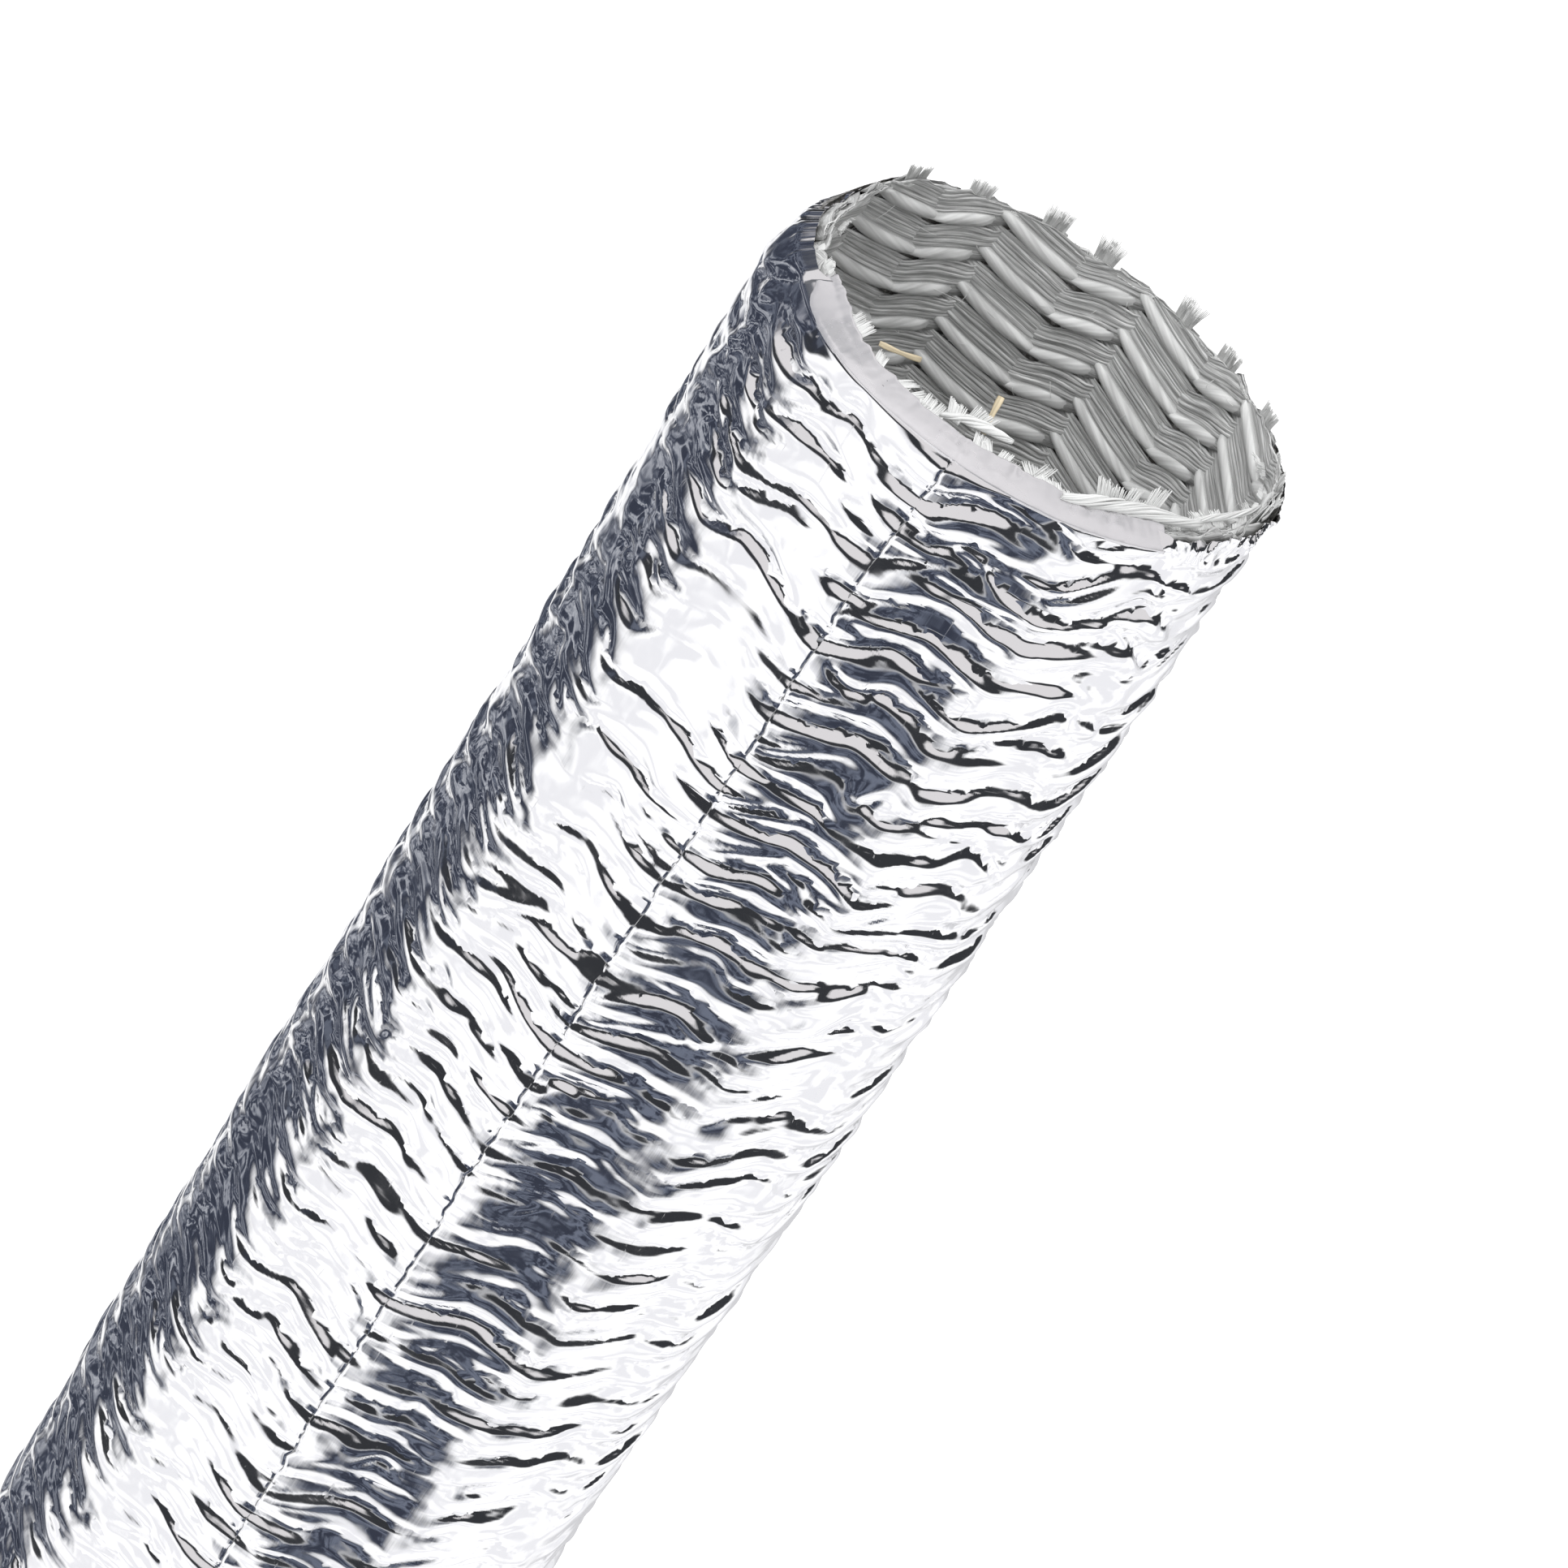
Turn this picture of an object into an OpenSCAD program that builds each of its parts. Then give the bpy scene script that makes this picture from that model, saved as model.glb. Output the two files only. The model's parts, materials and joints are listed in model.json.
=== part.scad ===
// Flexible air duct: a foil jacket glued over a braided glass sleeve.
// The duct stands on its cut lower end, its axis is +Z and its open end is up.

/* [Duct] */
// Clear bore of the duct
bore_d = 50; // [30:1:80]
// Length from one cut end to the other, without the frayed tufts
duct_length = 300; // [240:6:480]
// Number of lengths that the duct bends between
section_count = 6; // [6]

/* [Wall] */
// Thickness of each set of slanted glass tows
tow_t = 0.6; // [0.5:0.05:1]
// Thickness of the straight glass tows laid in between the two slanted sets
axial_t = 0.3; // [0.2:0.05:0.5]
// Thickness of the glue film
film_t = 0.1; // [0.1:0.05:0.3]
// Space that the crinkled foil takes up
foil_t = 0.4; // [0.3:0.05:0.8]

/* [Straight tows] */
// Number of straight tows round the duct
axial_count = 20; // [8:2:32]
// Width of one straight tow
axial_w = 2.7; // [1:0.1:4]
// Angle of the first straight tow round the axis, from the +X side
axial_start = 14; // [0:1:359]
// How far the frayed tufts stand out of the cut end
tuft_h = 2.6; // [1:0.1:6]
// Thickness of a frayed tuft
tuft_t = 0.8; // [0.4:0.1:1]

/* [Foil seam] */
// Width of the foil's overlap along the seam
lap_w = 6; // [3:0.5:10]
// Thickness of the overlap
lap_t = 0.3; // [0.28:0.01:0.35]
// Angle of the seam round the axis, from the +X side
seam_angle = 266; // [0:1:359]

/* [Foil rim] */
// Angle that the foil folded over the cut end covers
fold_sweep = 70; // [20:5:120]
// Angle of the middle of the fold round the axis, from the +X side
fold_angle = 280; // [0:1:359]
// Thickness of the fold
fold_t = 0.3; // [0.2:0.05:0.5]
// How far the fold reaches in from the outside
fold_w = 1.5; // [0.5:0.1:1.8]

/* [Bending] */
// Length of the soft ring at each place where the duct bends
flex_length = 16; // [12:1:20]
// Gap between a soft ring and the section beyond it
flex_gap = 0.3; // [0.2:0.1:1]
// How much wider the soft rings are than the sections, inside and outside
flex_bulge = 0.6; // [0.3:0.1:1]

/* [Hidden] */
$fn = 128;
cut_slack = 1;
pitch = duct_length / section_count;

// Radii of the faces between the layers, from the bore outwards
r_bore = bore_d / 2;
r_inner_tows = r_bore + tow_t;
r_axial = r_inner_tows + axial_t;
r_outer_tows = r_axial + tow_t;
r_film = r_outer_tows + film_t;
r_foil = r_film + foil_t;
r_flex_bore = r_bore + flex_bulge;
r_flex_foil = r_foil + flex_bulge;

SECTIONS = [1:section_count];
BENDS = [1:section_count - 1];

// Lowest and highest point of section k
function section_low(k) = k == 1 ? 0 : (k - 1) * pitch + flex_length / 2;
function section_high(k) =
    k == section_count ? duct_length : k * pitch - flex_length / 2;
function section_length(k) = section_high(k) - section_low(k);

// A tube between two radii, standing on z = 0
module tube(r_in, r_out, length) {
    rotate_extrude() translate([r_in, 0]) square([r_out - r_in, length]);
}

// Part of a tube, sweep degrees wide about the angle middle
module tube_arc(r_in, r_out, length, middle, sweep) {
    rotate([0, 0, middle - sweep / 2])
        rotate_extrude(angle = sweep)
            translate([r_in, 0]) square([r_out - r_in, length]);
}

// Angle that a width takes up on a radius
function width_angle(w, r) = w / r * 180 / PI;

// Angle of straight tow i round the axis, from 0 to 360
function axial_angle(i) = (axial_start + 360 * i / axial_count) % 360;

// The foil, wrapped lengthwise, with a rebate where its edges overlap
module foil_jacket(k) {
    color("silver") translate([0, 0, section_low(k)]) difference() {
        tube(r_film, r_foil, section_length(k));
        translate([0, 0, -cut_slack])
            tube_arc(r_foil - lap_t, r_foil + cut_slack,
                section_length(k) + 2 * cut_slack,
                seam_angle, width_angle(lap_w, r_foil));
    }
}

// The upper edge of the foil, lying flush over the lower one
module foil_seam_lap(k) {
    color("gainsboro") translate([0, 0, section_low(k)])
        tube_arc(r_foil - lap_t, r_foil, section_length(k),
            seam_angle, width_angle(lap_w, r_foil));
}

// The film that bonds the foil to the braid
module glue_film(k) {
    color("wheat") translate([0, 0, section_low(k)])
        tube(r_outer_tows, r_film, section_length(k));
}

// The ten tows that climb to the right, on the outside of the braid
module outer_tows(k) {
    color("lightgray") translate([0, 0, section_low(k)])
        tube(r_axial, r_outer_tows, section_length(k));
}

// The straight tows laid in along the duct, between the slanted ones
module straight_tows(k) {
    color("white") translate([0, 0, section_low(k)])
        for (i = [0:axial_count - 1])
            tube_arc(r_inner_tows, r_axial, section_length(k),
                axial_angle(i), width_angle(axial_w, r_axial));
}

// The ten tows that climb to the left, on the inside of the braid
module inner_tows(k) {
    color("darkgray") translate([0, 0, section_low(k)])
        tube(r_bore, r_inner_tows, section_length(k));
}

// A soft ring between section k and the next, down to the lower one's end
module flex_ring(k, r_in, r_out) {
    translate([0, 0, section_high(k)])
        tube(r_in, r_out, flex_length - flex_gap);
}

// The foil where the duct bends, gathered into a thicker ring
module foil_flex_ring(k) {
    color("silver") flex_ring(k, r_film, r_flex_foil);
}

// The braid where the duct bends
module braid_flex_ring(k) {
    color("lightgray") flex_ring(k, r_flex_bore, r_film);
}

// The foil turned in over the cut end
module rim_foil_fold() {
    color("gainsboro") translate([0, 0, duct_length])
        tube_arc(r_foil - fold_w, r_foil, fold_t, fold_angle, fold_sweep);
}

// The cut ends of the straight tows, standing out of the braid
module frayed_tufts() {
    r_mid = (r_bore + r_outer_tows) / 2;
    tuft_sweep = width_angle(axial_w, r_mid);
    color("white") translate([0, 0, duct_length])
        for (i = [0:axial_count - 1])
            if (abs(axial_angle(i) - fold_angle) > (fold_sweep + tuft_sweep) / 2)
                tube_arc(r_mid - tuft_t / 2, r_mid + tuft_t / 2, tuft_h,
                    axial_angle(i), tuft_sweep);
}

for (k = SECTIONS) {
    foil_jacket(k);
    foil_seam_lap(k);
    glue_film(k);
    outer_tows(k);
    straight_tows(k);
    inner_tows(k);
}
for (k = BENDS) {
    foil_flex_ring(k);
    braid_flex_ring(k);
}
rim_foil_fold();
frayed_tufts();
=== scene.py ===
import json
from functools import cache
from itertools import pairwise
from math import asin, pi, radians

import bpy
import numpy as np
from mathutils import Matrix, Vector

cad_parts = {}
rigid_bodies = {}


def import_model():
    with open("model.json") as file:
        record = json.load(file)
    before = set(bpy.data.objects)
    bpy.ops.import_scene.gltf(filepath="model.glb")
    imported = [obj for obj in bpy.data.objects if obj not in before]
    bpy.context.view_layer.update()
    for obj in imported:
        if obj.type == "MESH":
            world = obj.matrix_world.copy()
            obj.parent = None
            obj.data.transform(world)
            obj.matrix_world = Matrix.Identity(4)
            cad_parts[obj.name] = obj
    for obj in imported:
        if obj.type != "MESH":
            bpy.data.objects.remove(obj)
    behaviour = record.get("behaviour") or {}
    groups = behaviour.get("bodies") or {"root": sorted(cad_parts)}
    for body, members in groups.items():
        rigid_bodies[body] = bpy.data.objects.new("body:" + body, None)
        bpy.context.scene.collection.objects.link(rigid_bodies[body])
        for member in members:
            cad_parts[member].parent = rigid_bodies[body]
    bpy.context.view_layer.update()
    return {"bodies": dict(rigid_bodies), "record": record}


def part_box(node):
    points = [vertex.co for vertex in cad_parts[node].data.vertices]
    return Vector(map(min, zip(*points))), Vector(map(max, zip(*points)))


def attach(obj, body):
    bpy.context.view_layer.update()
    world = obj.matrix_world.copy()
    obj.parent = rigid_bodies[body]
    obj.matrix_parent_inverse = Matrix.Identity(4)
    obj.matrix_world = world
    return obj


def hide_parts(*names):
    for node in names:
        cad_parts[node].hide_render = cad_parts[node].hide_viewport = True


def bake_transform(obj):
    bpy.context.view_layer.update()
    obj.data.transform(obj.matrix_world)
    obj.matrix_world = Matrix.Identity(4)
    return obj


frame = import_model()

bl_info = {
    "name": "Flexible Foil Duct",
    "version": (1, 0, 0),
    "blender": (4, 5, 0),
    "location": "View3D > Sidebar > Duct",
    "description": "Crinkled foil jacket over a braided glass sleeve, with a frayed end",
    "category": "Object",
}

MM = 0.001
TURN = 2 * pi

# Places taken from the frame
MOUNTS = {m["name"]: m for m in frame["record"]["mounts"]}
BORE_R = MOUNTS["upper_bore"]["dims"]["r_mm"] * MM
FOIL_R = MOUNTS["upper_clip_seat"]["dims"]["r_mm"] * MM
SECTIONS = len(frame["bodies"])
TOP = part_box(f"foil_jacket_{SECTIONS}")[1][2]
PITCH = TOP / SECTIONS
FILM_R = float(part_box(f"glue_film_{SECTIONS}")[1][0])

# The open end: the foil is folded in over the cut on the near side
FOLD_FROM, FOLD_TO = radians(-45), radians(60)
FOLD_SOFT = radians(1.5)
FOLD_DROP, FOLD_RISE, FOLD_IN = 1.2 * MM, 0.42 * MM, 2.1 * MM

# Stretches of the rim, by the angles that each comes in over and goes out over
PLEATED = (radians(-100), radians(-88)), (radians(-50), radians(-44))
SQUEEZED = (radians(24), radians(58)), (radians(100), radians(140))

# Height in mm of each wave of the cut, and its cells round the rim
RIM_WAVES = (0.22, 14), (0.14, 70), (0.07, 260)

# Outer mesh cells to each cell of the inner wall
INNER_STEP = 4


# ---------------------------------------------------------------- settings

class DuctFoil(bpy.types.PropertyGroup):
    """Sizes and colour of the foil jacket"""

    columns: bpy.props.IntProperty(
        name="Columns", description="Mesh columns round the foil", default=608)
    row_fine: bpy.props.FloatProperty(
        name="Fine row", description="Height of a mesh row near the open end",
        default=0.33 * MM, unit="LENGTH", precision=5)
    row_coarse: bpy.props.FloatProperty(
        name="Coarse row", description="Height of a mesh row in the lower half",
        default=0.36 * MM, unit="LENGTH", precision=5)
    thickness: bpy.props.FloatProperty(
        name="Thickness", description="Thickness of the foil",
        default=0.06 * MM, unit="LENGTH", precision=5)
    rib_height: bpy.props.FloatProperty(
        name="Rib height", description="Height of the ribs that the tows press in",
        default=0.40 * MM, unit="LENGTH", precision=5)
    crease_depth: bpy.props.FloatProperty(
        name="Crease depth", description="Depth of the deepest creases",
        default=0.72 * MM, unit="LENGTH", precision=5)
    crease_count: bpy.props.IntProperty(
        name="Creases", description="Number of creases in the foil", default=4400)
    seed: bpy.props.IntProperty(
        name="Seed", description="Seed of the crumpling", default=7)
    color: bpy.props.FloatVectorProperty(
        name="Foil colour", description="Colour of the bare aluminium",
        default=(0.955, 0.955, 0.965), subtype="COLOR", size=3)


class DuctBraid(bpy.types.PropertyGroup):
    """Sizes and colour of the braided sleeve"""

    tows: bpy.props.IntProperty(
        name="Tows each way", description="Slanted tows in each direction", default=10)
    pitch: bpy.props.FloatProperty(
        name="Tow pitch", description="Distance between tows along the duct",
        default=4.4 * MM, unit="LENGTH", precision=5)
    strands: bpy.props.IntProperty(
        name="Strands", description="Flat strands in a slanted tow", default=6)
    seed: bpy.props.IntProperty(
        name="Seed", description="Seed of the tows' unevenness", default=11)
    color: bpy.props.FloatVectorProperty(
        name="Glass colour", description="Colour of the glass yarn",
        default=(0.665, 0.67, 0.665), subtype="COLOR", size=3)


class DuctStage(bpy.types.PropertyGroup):
    """Lens and light of the stage"""

    lens: bpy.props.FloatProperty(
        name="Lens", description="Focal length on a 36 mm sensor", default=140.9)
    world: bpy.props.FloatProperty(
        name="Studio light", description="Strength of the studio light", default=1.0)


def foil():
    """The foil's settings."""
    return bpy.context.scene.duct_foil


def braid():
    """The braid's settings."""
    return bpy.context.scene.duct_braid


# ---------------------------------------------------------------- helpers

def ring_point(theta, r, z):
    """Points at an angle from the -Y side towards -X, a radius and a height."""
    theta, r, z = np.broadcast_arrays(theta, r, z)
    return np.stack([-r * np.sin(theta), -r * np.cos(theta), z], -1)


def smooth(edge0, edge1, x):
    """An eased step from 0 at one value to 1 at another."""
    t = np.clip((x - edge0) / (edge1 - edge0), 0, 1)
    return t * t * (3 - 2 * t)


def between(x, rise, fall):
    """1 between two eased steps, each given by the values that it starts and ends at."""
    return smooth(*rise, x) * (1 - smooth(*fall, x))


def wrapped(angle):
    """The same angle between half a turn back and half a turn on."""
    return (angle + pi) % TURN - pi


def soft_noise(rng, u, v, nu, nv):
    """Smooth noise over u and v in 0..1, with nu cells round the duct and nv along it."""
    grid = rng.standard_normal((nu, nv + 2))
    grid = np.concatenate([grid, grid[:1]])
    x, y = (u % 1) * nu, np.clip(v, 0, 1) * nv
    i, j = np.minimum(x.astype(int), nu - 1), np.minimum(y.astype(int), nv)
    fx, fy = x - i, y - j
    fx, fy = fx * fx * (3 - 2 * fx), fy * fy * (3 - 2 * fy)
    low = grid[i, j] * (1 - fx) + grid[i + 1, j] * fx
    high = grid[i, j + 1] * (1 - fx) + grid[i + 1, j + 1] * fx
    return low * (1 - fy) + high * fy


def mesh_object(name, verts, faces, material, uv=None, normals=None):
    """A new object from arrays of vertices and of quads or triangles."""
    mesh = bpy.data.meshes.new(name)
    verts = np.asarray(verts, np.float32)
    sizes = [len(f) * f.shape[1] for f in faces]
    loops = np.concatenate([f.ravel() for f in faces]).astype(np.int32)
    starts, at = [], 0
    for f, size in zip(faces, sizes, strict=True):
        starts.append(at + np.arange(len(f)) * f.shape[1])
        at += size
    mesh.vertices.add(len(verts))
    mesh.vertices.foreach_set("co", verts.ravel())
    mesh.loops.add(len(loops))
    mesh.loops.foreach_set("vertex_index", loops)
    mesh.polygons.add(sum(len(f) for f in faces))
    mesh.polygons.foreach_set("loop_start", np.concatenate(starts).astype(np.int32))
    mesh.update(calc_edges=True)
    if mesh.validate():
        raise RuntimeError(f"{name}: the mesh had faults")
    mesh.shade_smooth()
    if uv is not None:
        layer = mesh.uv_layers.new(name="UVMap")
        layer.data.foreach_set("uv", np.asarray(uv, np.float32)[loops].ravel())
    if normals is not None:
        mesh.normals_split_custom_set_from_vertices(np.asarray(normals, np.float32))
    mesh.materials.append(material)
    obj = bpy.data.objects.new(name, mesh)
    bpy.context.scene.collection.objects.link(obj)
    return obj


def span_edges():
    """Heights where the pieces are split: each middle span crosses one joint."""
    return [0, *[(k - 0.5) * PITCH for k in range(1, SECTIONS + 1)], TOP]


def spans():
    """The number of each span with its lower and upper heights."""
    return enumerate(pairwise(span_edges()))


def span_of(z):
    """Number of the span that a height is in, from 0 at the lower end."""
    return np.searchsorted(span_edges()[1:-1], z)


def join_frame(obj, span):
    """Let a piece at either end follow the section it lies on; a middle piece's transform is
    baked into its mesh.
    """
    if span in (0, SECTIONS):
        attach(obj, f"section_{max(span, 1)}")
    else:
        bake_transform(obj)


def cad_nodes(span, layer, flex):
    """CAD nodes that a span of a layer stands for."""
    if span == SECTIONS:
        return []
    names = [f"{layer}_{span + 1}"]
    return names + ([f"{flex}_{span}"] if flex and span else [])


# ---------------------------------------------------------------- materials

FLOAT, COLOR, VECTOR = "NodeSocketFloat", "NodeSocketColor", "NodeSocketVector"


def feed(tree, target, values):
    """Give a node's inputs, by name or number, a value or another node's output."""
    for key, value in values.items():
        into = target.inputs[key]
        if isinstance(value, bpy.types.NodeSocket):
            tree.links.new(value, into)
        elif into.type == "RGBA" and len(value) == 3:
            into.default_value = (*value, 1)
        else:
            into.default_value = value


def node(tree, kind, place, values=None, **settings):
    """A new node with its settings made and its inputs fed."""
    made = tree.nodes.new(kind)
    made.location = place
    for key, value in settings.items():
        setattr(made, key, value)
    feed(tree, made, values or {})
    return made


def speckle(tree, place, vector, scale, detail=2.0):
    """Cloudy noise between 0 and 1."""
    values = {"Vector": vector, "Scale": scale, "Detail": detail}
    return node(tree, "ShaderNodeTexNoise", place, values).outputs["Fac"]


def remap(tree, place, value, low, high, to_low=0.0, to_high=1.0, curve="LINEAR"):
    """A value stretched from one range to another and held at its ends."""
    values = {
        "Value": value, "From Min": low, "From Max": high, "To Min": to_low,
        "To Max": to_high}
    made = node(tree, "ShaderNodeMapRange", place, values, interpolation_type=curve)
    return made.outputs["Result"]


def sums(tree, place, operation, *values):
    """The result of one sum on numbers or on other nodes' outputs."""
    made = node(tree, "ShaderNodeMath", place, dict(enumerate(values)), operation=operation)
    return made.outputs[0]


def mix_colors(tree, place, mask, below, above, blend="MIX"):
    """One colour laid over another by a mask."""
    values = {0: mask, 6: below, 7: above}
    made = node(
        tree, "ShaderNodeMix", place, values, data_type="RGBA", blend_type=blend)
    return made.outputs[2]


def relief(tree, place, height, strength, distance):
    """The normal of a surface with a fine relief."""
    values = {"Height": height, "Strength": strength, "Distance": distance}
    return node(tree, "ShaderNodeBump", place, values).outputs["Normal"]


def node_group(name, inputs, outputs, fill):
    """A node group, made and filled when it is first asked for."""
    found = bpy.data.node_groups.get(name)
    if found:
        return found
    group = bpy.data.node_groups.new(name, "ShaderNodeTree")
    for way, sockets in (("INPUT", inputs), ("OUTPUT", outputs)):
        for label, kind, default in sockets:
            made = group.interface.new_socket(name=label, in_out=way, socket_type=kind)
            if default is not None:
                made.default_value = default
    given = node(group, "NodeGroupInput", (-900, 0)).outputs
    feed(group, node(group, "NodeGroupOutput", (500, 0)), fill(group, given))
    return group


def fill_scratches(g, given):
    """Streaks and smudges that dull the foil in places."""
    stretch = node(
        g, "ShaderNodeVectorMath", (-700, 0), {0: given["Vector"], 1: (2600, 2600, 60)},
        operation="MULTIPLY")
    fine = speckle(g, (-340, 120), stretch.outputs[0], 1.0)
    smudge = speckle(g, (-340, -180), given["Vector"], 170.0, 4.0)
    dull = remap(
        g, (-120, -60), smudge, 0.42, 0.68, given["Roughness Low"], given["Roughness High"])
    hair = remap(g, (-120, 300), fine, 0.66, 0.74, 0.0, 0.30)
    worn = speckle(g, (-340, 420), given["Vector"], 260.0)
    where = remap(g, (-120, 560), worn, 0.45, 0.62)
    marks = sums(g, (60, 400), "MULTIPLY", hair, where)
    return {"Roughness": sums(g, (240, 200), "ADD", dull, marks), "Height": fine}


def scratches_group():
    """Fine rubbing marks that run along the duct, and soft smudges."""
    return node_group(
        "Rubbing Marks",
        (("Vector", VECTOR, None), ("Roughness Low", FLOAT, 0.03),
         ("Roughness High", FLOAT, 0.12)),
        (("Roughness", FLOAT, None), ("Height", FLOAT, None)), fill_scratches)


def fill_filaments(g, given):
    """Lines along the yarn: its own colour, with painted shade in the gaps between filaments,
    and paler and darker stretches.
    """
    axes = node(g, "ShaderNodeSeparateXYZ", (-720, 0), {0: given["Vector"]}).outputs
    along = sums(g, (-540, 60), "MULTIPLY", axes["X"], 0.35)
    across = sums(g, (-540, -120), "MULTIPLY", axes["Y"], given["Lines"])
    lines = node(
        g, "ShaderNodeCombineXYZ", (-360, 0), {"X": along, "Y": across, "Z": axes["Z"]})
    fine = speckle(g, (-180, 0), lines.outputs[0], 1.0, 3.0)
    strand = node(
        g, "ShaderNodeVectorMath", (-360, -260), {0: given["Vector"], 1: (0.13, 1.9, 1.0)},
        operation="MULTIPLY")
    patch = speckle(g, (-180, -260), strand.outputs[0], 1.0, 1.0)
    spread = remap(g, (0, 120), fine, 0.33, 0.68)
    # Painted shade: the darker colour fills the gaps between filaments, except on the raised
    # twisted bundles.
    lift = sums(g, (90, 240), "MAXIMUM", spread, given["Lift"])
    color = mix_colors(g, (180, 60), lift, given["Gap Painted Shade"], given["Colour"])
    tint = remap(g, (0, -260), patch, 0.25, 0.75, 0.72, 1.25)
    shade = mix_colors(g, (340, 60), 1.0, color, tint, "MULTIPLY")
    return {"Colour": shade, "Height": fine}


def yarn_group():
    """Fine lines along a glass yarn, with painted shade in the gaps between filaments, and
    soft patches.
    """
    return node_group(
        "Glass Filaments",
        (("Vector", VECTOR, None), ("Colour", COLOR, (0.6, 0.6, 0.58, 1)),
         ("Gap Painted Shade", COLOR, (0.3, 0.3, 0.29, 1)), ("Lines", FLOAT, 9.0),
         ("Lift", FLOAT, 0.0)),
        (("Colour", COLOR, None), ("Height", FLOAT, None)), fill_filaments)


def new_material(name):
    """A new material, its tree and its shader."""
    m = bpy.data.materials.new(name)
    m.use_nodes = True
    t = m.node_tree
    return m, t, t.nodes["Principled BSDF"]


def foil_material(name, color, low, high, bump, metal=1.0):
    """Aluminium foil with rubbing marks."""
    m, t, shader = new_material(name)
    place = node(t, "ShaderNodeTexCoord", (-700, 0)).outputs["Object"]
    values = {"Vector": place, "Roughness Low": low, "Roughness High": high}
    marks = node(
        t, "ShaderNodeGroup", (-480, 0), values, node_tree=scratches_group()).outputs
    feed(t, shader, {
        "Base Color": color, "Metallic": metal, "Roughness": marks["Roughness"],
        "Normal": relief(t, (-240, -200), marks["Height"], bump, 0.01 * MM)})
    return m


def yarn_material(name, color, gap_shade, lines, bump, rough):
    """Glass yarn, with the filament lines along each tow, and painted shade between the
    filaments that the raised twisted bundles are kept almost clear of.
    """
    m, t, shader = new_material(name)
    place = node(t, "ShaderNodeUVMap", (-700, 0), uv_map="UVMap").outputs["UV"]
    twisted = node(t, "ShaderNodeAttribute", (-700, -240), attribute_name="twisted")
    # The twisted bundles stand highest, so the painted shade between filaments is mostly kept
    # off them.
    ease = sums(t, (-590, -240), "MULTIPLY", twisted.outputs["Fac"], 0.85)
    values = {
        "Vector": place, "Colour": color, "Gap Painted Shade": gap_shade, "Lines": lines, "Lift": ease}
    yarn = node(t, "ShaderNodeGroup", (-480, 0), values, node_tree=yarn_group()).outputs
    feed(t, shader, {
        "Base Color": yarn["Colour"], "Roughness": rough, "Specular IOR Level": 0.6,
        "Normal": relief(t, (-240, -200), yarn["Height"], bump, 0.05 * MM)})
    return m


def seam_glue_shade_material():
    """Dull glue, darkened with painted shade of the lap's step, with a little unevenness."""
    m, t, shader = new_material("Seam Glue Painted Shade")
    place = node(t, "ShaderNodeTexCoord", (-700, 0)).outputs["Object"]
    spots = speckle(t, (-500, 0), place, 900.0)
    # Painted shade: dark glue in place of the shadow that the lap's step casts.
    dark, light = (tuple(c * k for c in (0.17, 0.17, 0.175)) for k in (0.5, 2.2))
    tint = mix_colors(t, (-260, 0), spots, dark, light)
    feed(t, shader, {"Base Color": tint, "Roughness": 0.5})
    return m


def glue_film_shade_material():
    """Dried glue on the back of the foil, painted dark as the shade in the braid's holes, with
    small pale spots of painted glint.
    """
    m, t, shader = new_material("Glue Film Painted Shade")
    place = node(t, "ShaderNodeTexCoord", (-900, 0)).outputs["Object"]
    spots = speckle(t, (-700, 0), place, 1500.0, 3.0)
    bright = remap(t, (-480, 0), spots, 0.5, 0.7)
    # Painted shade and glints: a dark tone for the holes in the braid, with pale, smoother
    # spots for glints.
    feed(t, shader, {
        "Base Color": mix_colors(
            t, (-260, 100), bright, (0.20, 0.195, 0.18), (0.62, 0.61, 0.60)),
        "Roughness": remap(t, (-260, -120), bright, 0.0, 1.0, 0.6, 0.25),
        "Normal": relief(t, (-260, -360), spots, 0.6, 0.1 * MM),
        "Metallic": 0.5})
    return m


def material(name):
    """One of the duct's materials, made when it is first asked for."""
    found = bpy.data.materials.get(name)
    if found:
        return found
    glass, bare = tuple(braid().color), tuple(foil().color)
    # Painted shade for the gaps between the yarn's filaments, so the flat strands read darker
    # than the bundles.
    gap_shade = tuple(c * 0.44 for c in glass)
    pale = tuple(min(1, c * 1.12) for c in glass)
    foils = {  # colour, lowest and highest roughness, bump, metal
        "Bright Foil": (bare, 0.04, 0.13, 0.35),
        "Lapped Foil": (bare, 0.04, 0.13, 0.35),
        "Folded Foil": ((0.72, 0.71, 0.73), 0.24, 0.46, 1.0, 0.62),
    }
    yarns = {  # colour, gap colour, lines, bump, roughness
        "Slanted Tows": (glass, gap_shade, 9.0, 0.5, 0.42),
        "Straight Tows": (pale, glass, 9.0, 0.5, 0.42),
        "Loose Glass": (pale, glass, 9.0, 0.4, 0.45),
        "Straw": ((0.66, 0.57, 0.40), (0.50, 0.42, 0.28), 5.0, 0.4, 0.5),
    }
    if name in foils:
        return foil_material(name, *foils[name])
    if name in yarns:
        return yarn_material(name, *yarns[name])
    return {"Glue Film Painted Shade": glue_film_shade_material, "Seam Glue Painted Shade": seam_glue_shade_material}[name]()


# ---------------------------------------------------------------- foil shape

CHEVRON = radians(36)
CHEVRON_PEAK = radians(-12)
CHEVRON_RISE = 2.1 * MM
SEAM_TOP = radians(2.3)
SEAM_DRIFT = radians(3.2)
LAP_W = float(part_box("foil_seam_lap_1")[1][0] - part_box("foil_seam_lap_1")[0][0])

# The smoother stretch beside the seam, and the depths where it gives way to long creases
CALM_FROM, CALM_TO, CALM_DEPTH = radians(8), radians(40), 50 * MM
CALM_MIDDLE, CALM_WIDTH = radians(24), radians(15)
CALM_SKIP, LOWER_SKIP = 0.80, 0.10
LOWER_FROM, LOWER_TO = 40 * MM, 85 * MM

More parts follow.
